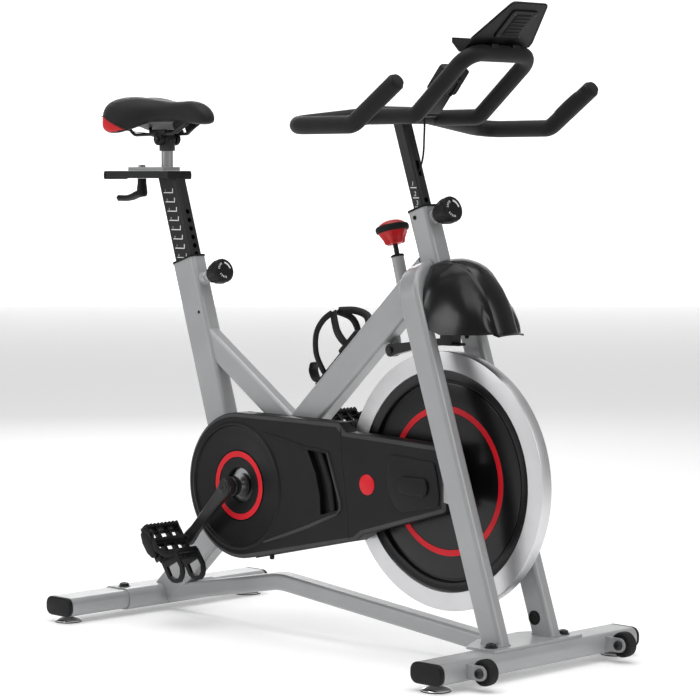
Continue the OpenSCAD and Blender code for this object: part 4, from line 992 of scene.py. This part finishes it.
crank_x, crank_z, crank_len = -188, 300, 170
for tag, s in (("right", 1), ("left", -1)):
    turn = math.radians(225 if s > 0 else 45)
    tip = polar(crank_len, 225 if s > 0 else 45, crank_x, crank_z)
    d = Vector((math.cos(turn), 0, math.sin(turn)))
    across = Vector((-math.sin(turn), 0, math.cos(turn)))
    out = Vector((0, -s, 0))
    c0 = Vector((crank_x, 0, crank_z))
    rings = []
    for k, (l, h, y0, y1) in enumerate(((-17, 5, 80, 95), (-15, 12, 79, 96.4), (-8, 17, 78, 97),
            (4, 17.6, 78, 97), (18, 15.4, 78.4, 96.6), (40, 13.2, 79, 96), (90, 11.6, 80, 95.6),
            (140, 11.2, 80, 95.6), (158, 13.2, 79.6, 96), (170, 14, 79.6, 96), (178, 12.4, 79.8, 95.8),
            (182.6, 8, 80.4, 95), (184, 3, 82, 93))):
        c = 2.6
        row = [(-h + c, y0), (h - c, y0), (h, y0 + c), (h, y1 - c), (h - c, y1), (-h + c, y1),
            (-h, y1 - c), (-h, y0 + c)] if h > 4 else [(-h + 1, y0), (h - 1, y0), (h, y0 + 1),
            (h, y1 - 1), (h - 1, y1), (-h + 1, y1), (-h, y1 - 1), (-h, y0 + 1)]
        rings.append([c0 + d * l + across * a + out * b for a, b in row])
    loft(f"crank_arm_{tag}", rings, "crankset", STEEL, sharp=32, hides=f"crank_{tag}")
    ax_m = place(crank_x, crank_z, axis="r" if s > 0 else "l")
    lathe(f"crank_hub_{tag}", [(10.4, 64), (19.4, 64), (20.4, 66), (20.4, 78), (18.6, 80)], "crankset",
        STEEL, ax_m, seg=48)
    lathe(f"crank_socket_{tag}", [(16.4, 96.4), (16, 98.4), (14.4, 99.2), (12, 99.2), (11.2, 98),
        (10.8, 97.4), (8.6, 97.4), (8, 98.6), (4.6, 98.6), (4.2, 97.3), (0, 97.3)], "crankset", STEEL,
        ax_m, seg=40)
    pin_m = place(tip[0], tip[1], axis="r" if s > 0 else "l")
    lathe(f"pedal_pin_{tag}", [(0, 88), (6.8, 88), (8.6, 96), (8.6, 99.4), (6, 100.4), (5.9, 195.6),
        (5, 196.4), (0, 196.4)], "crankset", PIN_STEEL, pin_m, seg=32)
    body = "pedal_" + tag[0]
    P = place(tip[0], tip[1], -(52 if s > 0 else 40), y=-s * 150)
    Yl = P @ Matrix.Rotation(math.pi / 2, 4, "X")
    lathe(f"pedal_barrel_{tag}", [(6.1, -46), (10, -46), (12.4, -44), (12.4, -38), (10.6, -34),
        (10.2, 34), (12.4, 38), (12.4, 44), (10, 46), (6.1, 46)], body, PLASTIC, Yl, seg=32, closed=True,
        hides=f"pedal_{tag}")
    for e, end in ((-1, "b"), (1, "a")):
        teeth = [(-46, -9)]
        count = 9
        for i in range(count):
            y0 = -46 + 92 * i / count
            teeth += [(y0 + 1.2, -9), (y0 + 3.4, -13), (y0 + 6.6, -13), (y0 + 8.8, -9)]
        teeth += [(46, -9)]
        outline = teeth + [(y, -z) for y, z in reversed(teeth)]
        m = P @ ALONG_X
        prism(f"pedal_teeth_{tag}_{'fb'[e < 0]}", outline, e * 36 - 4.4, e * 36 + 4.4, body, PLASTIC,
            at=m, bevel=1, cuts=2)
        box_piece(f"pedal_end_{tag}_{end}", (-36, e * 43 - 3, -9.6), (36, e * 43 + 3, 9.6), body, PLASTIC,
            at=P, bevel=2)
        box_piece(f"pedal_web_{tag}_{end}", (-34, e * 15 - 2.5, -8), (34, e * 15 + 2.5, 8), body, PLASTIC,
            at=P, bevel=1.4)
        box_piece(f"pedal_rib_{tag}_{end}", (e * 23 - 2, -42, -5), (e * 23 + 2, 42, 5), body, PLASTIC,
            at=P, bevel=1.2)
    for e, end in ((-1, "b"), (1, "a")):
        flat = P @ Matrix(((1, 0, 0, 0), (0, 0, -1, e * 29), (0, 1, 0, 0), (0, 0, 0, 1)))
        rim_line = [(34, -11), (80, -13), (94, -7), (103, 4), (107, 15), (104, 27), (96, 37), (84, 43),
            (48, 43), (40, 38), (36, 12)]
        plate_side = prism(f"toe_plate_{tag}_{end}", rim_line, -3.4, 3.4, body, PLASTIC, at=flat,
            bevel=1.6, cuts=2, hides=f"toe_cage_{tag}" if e < 0 else "")
        hole = prism(f"toe_hole_{tag}_{end}",
            [(60, -1), (80, -3), (92, 5), (97, 15), (93, 25), (82, 33), (66, 33)], -9, 9, body, PLASTIC,
            at=flat, bevel=0)
        cut(plate_side, hole)
        box_piece(f"toe_foot_{tag}_{end}", (28, e * 29 - 5, -12), (44, e * 29 + 5, 12), body, PLASTIC,
            at=P, bevel=2)
    nose = [(-30, -9), (-10, -16), (14, -16), (32, -9), (34, 6), (20, 13), (-18, 13), (-33, 6)]
    side_out = P @ Matrix(((1, 0, 0, 0), (0, 0, -s, -s * 46), (0, 1, 0, 0), (0, 0, 0, 1)))
    prism(f"pedal_nose_{tag}", nose, -1, 8, body, PLASTIC, at=side_out, bevel=4.5, cuts=3)
    box_piece(f"toe_bridge_{tag}", (41, -30, 37), (53, 30, 44), body, PLASTIC, at=P, bevel=2.4)
    strap = [P @ Vector(p) for p in ((-20, -s * 40, 13), (0, -s * 50, 15), (24, -s * 53, 17),
        (44, -s * 44, 26), (50, -s * 30, 38))]
    tube(f"toe_strap_{tag}", strap, 2.2, body, PLASTIC, ring=12, dome=0.4, squash=3.2,
        start=P.to_3x3() @ Vector((0, 1, 0)))

# ---------- bottle cage

MAIN_AT = place(245, 702.5, 42.77 - 90)


def up_main(x, y, z):
    return MAIN_AT @ Vector((x, y, z))


def smooth_path(pts, n=6):
    """A curve through the points."""
    pts = [Vector(p) for p in pts]
    out = []
    for i in range(len(pts) - 1):
        p0, p1, p2, p3 = pts[max(i - 1, 0)], pts[i], pts[i + 1], pts[min(i + 2, len(pts) - 1)]
        for k in range(n):
            t = k / n
            out.append(0.5 * ((2 * p1) + (p2 - p0) * t + (2 * p0 - 5 * p1 + 4 * p2 - p3) * t * t
                + (3 * p1 - p0 - 3 * p2 + p3) * t ** 3))
    out.append(pts[-1])
    return out


CAGE_UP = 22
box_piece("cage_strip", (-38, -10.5, -330 + CAGE_UP), (-32.4, 10.5, -165 + CAGE_UP), "frame", PLASTIC,
    at=MAIN_AT, bevel=2, hides="bottle_cage")
face_up = MAIN_AT.to_3x3() @ Vector((0, 0, 1))
hook = smooth_path([up_main(x, 0, z + CAGE_UP) for x,
    z in ((-35, -318), (-42, -326), (-54, -327), (-68, -321), (-76, -307))])
tube("cage_toe", hook, 3, "frame", PLASTIC, ring=16, dome=0.5, squash=4.6, start=face_up)
across = MAIN_AT.to_3x3() @ Vector((0, 1, 0.01))
for name, r, flat_by, start, pts in (
        ("arm", 5.0, 1.3, across, ((-35, 0, -300), (-46, -10, -292), (-74, -22, -274), (-100, -26, -244),
        (-110, -22, -214), (-109, -14, -188))),
        ("band", 3.0, 3.6, across, ((-36, 0, -208), (-46, -14, -204), (-66, -22, -198), (-90, -20, -190),
        (-109, -13, -186))),
        ("loop_low", 3.0, 2.8, across, ((-36, 4, -200), (-46, 20, -196), (-66, 30, -190), (-90, 24, -184),
        (-108, -6, -184))),
        ("loop_high", 3.0, 2.8, across,
        ((-36, 4, -164), (-46, 22, -154), (-70, 32, -154), (-94, 22, -166), (-108, -2, -182)))):
    path = smooth_path([up_main(x, y, z + CAGE_UP) for x, y, z in pts])
    tube(f"cage_{name}", path, r, "frame", PLASTIC, ring=16, dome=0.5, squash=flat_by, start=start)
box_piece("cage_lug", (-44, -13, -232 + CAGE_UP), (-33, 13, -166 + CAGE_UP), "frame", PLASTIC, at=MAIN_AT,
    bevel=4, cuts=3)
for i, z in enumerate((-300, -225)):
    lathe(f"cage_screw_{i}", [(0, 4), (3, 3.8), (4.6, 2.4), (5, 0), (0, 0)], "frame", STEEL,
        MAIN_AT @ facing(-38, 0, z, -1, "Y"), seg=24)

# ---------- base details

STABILIZERS = ((-500, "rear"), (566, "front"))
for x, end in STABILIZERS:
    for s, st in ((-1, "right"), (1, "left")):
        at = place(x, 0, y=s * 261)
        b = "foot_" + end[0] + st[0]
        lathe(f"foot_{end}_{st}_pad", [(0, 0), (27, 0), (28, 0.8), (28.2, 3.4), (27.4, 4.4), (24, 6.4),
            (17, 9), (11, 10.6), (8, 11.4), (7.6, 14), (5.2, 14.4), (5, 30.8), (0, 30.8)], b, CHROME, at,
            seg=64, hides=f"foot_{end}_{st}", sharp=28)
        lathe(f"foot_{end}_{st}_grip", [(27.6, 0.1), (28.5, 0.4), (28.6, 2.2), (27.8, 2.6)], b, RUBBER,
            at, seg=64, closed=True)
for s, st in ((-1, "right"), (1, "left")):
    wm = facing(636, s * 202, 36, -s)
    lathe(f"wheel_{st}_tyre", [(5.1, -10.6), (16, -10.6), (17, -9.4), (18.2, -9.4), (19.4, -11),
        (22.4, -10.8), (24.4, -8.6), (25, -5), (25, 5), (24.4, 8.6), (22.4, 10.8), (19.4, 11),
        (18.2, 9.4), (17, 9.4), (16, 10.6), (5.1, 10.6)], "roller_" + st, RUBBER, wm, seg=64, closed=True,
        hides=f"wheel_{st}", sharp=30)
    for e in (-1, 1):
        m = facing(636, s * 202 + e * 19, 36, -e)
        lathe(f"wheel_bolt_{st}_{'io'[e == s]}",
            [(9.6, -2.2), (9.6, 1.4), (8.4, 3.6), (6, 4.6), (4.2, 4.8), (3.6, 2.6), (0, 2.4)], "frame",
            STEEL, m, seg=36)
for i, (x, z, y) in enumerate(((-500, 58, 105), (563, 60, 105))):
    for s, tag in SIDES:
        lathe(f"base_bolt_{i}{tag}", [(13, z - 0.5), (13, z + 1), (12, z + 1.6), (10.6, z + 1.8),
            (10.4, z + 5), (8.6, z + 7.4), (5.4, z + 8.4), (4.2, z + 8.4), (3.8, z + 6), (0, z + 5.8)],
            "frame", STEEL, moved((x, s * y, 0)), seg=36,
            hides="frame_bolts" if (i, s) == (0, -1) else "")
for x, end in STABILIZERS:
    for s, tag in SIDES:
        outline = []
        for cx, cy, a0 in ((24, 4, 0), (-24, 4, 90), (-24, -4, 180), (24, -4, 270)):
            outline += [polar(16.3, a0 + t, cx, cy) for t in range(0, 91, 15)]
        m = Matrix(((1, 0, 0, x), (0, 0, s, s * 280), (0, 1, 0, 35), (0, 0, 0, 1)))
        prism(f"stab_cap_{end}_{tag}", outline, -0.5, 10, "frame", PLASTIC, at=m, bevel=4.5, cuts=5,
            bevel_at=40, hides="end_caps" if (end, s) == ("rear", -1) else "")
for s, tag in SIDES:
    lathe(f"leg_plug_{tag}", [(14, -0.4), (14, 1.4), (12.6, 2.8), (9, 3), (8, 1.2), (3.6, 1), (3, 2),
        (0, 2)], "frame", PLASTIC, facing(529, s * 59, 93, s), seg=36)
    # Dark discs on the legs: painted shade standing for holes.
    lathe(f"leg_hole_{tag}", [(5.6, -0.2), (5.6, 0.7), (4.6, 0.7), (4.2, 0.15), (0, 0.1)], "frame", SEAM_AND_RECESS_SHADE,
        facing(351, s * 59, 632, s), seg=24)
# Small dark discs on the tubes' right faces: painted shade for screw holes.
lathe("head_screw", [(4.4, -0.2), (4.4, 0.8), (3.4, 1), (2.6, 0.2), (0, 0.2)], "frame", SEAM_AND_RECESS_SHADE,
    on_right(HEAD_AT, -7, -22, -14), seg=24)
lathe("seat_tube_screw", [(3.4, -0.2), (3.4, 0.6), (2.6, 0.8), (2, 0.1), (0, 0.1)], "frame", SEAM_AND_RECESS_SHADE,
    on_right(SEAT_AT, 18, -20, -120), seg=20)


for s, tag in SIDES:
    pts = []
    for k in range(0, 41):
        a = math.radians(9 * k)
        c, sn = math.cos(a), math.sin(a)
        pts.append(Vector((26 * math.copysign(abs(c) ** 0.42, c), 15 * math.copysign(abs(sn) ** 0.42, sn),
            0)))
    leg = place(547, 60, 18.5, y=s * 74)
    line = []
    for p in pts[:-1]:
        q = leg @ p
        t = (60.6 - q.z) / 0.9483
        line.append(Vector((q.x - 0.3173 * t, q.y, 60.8)))
    tube(f"leg_weld_{tag}", line, 2.1, "frame", PAINT, ring=10, closed=True)
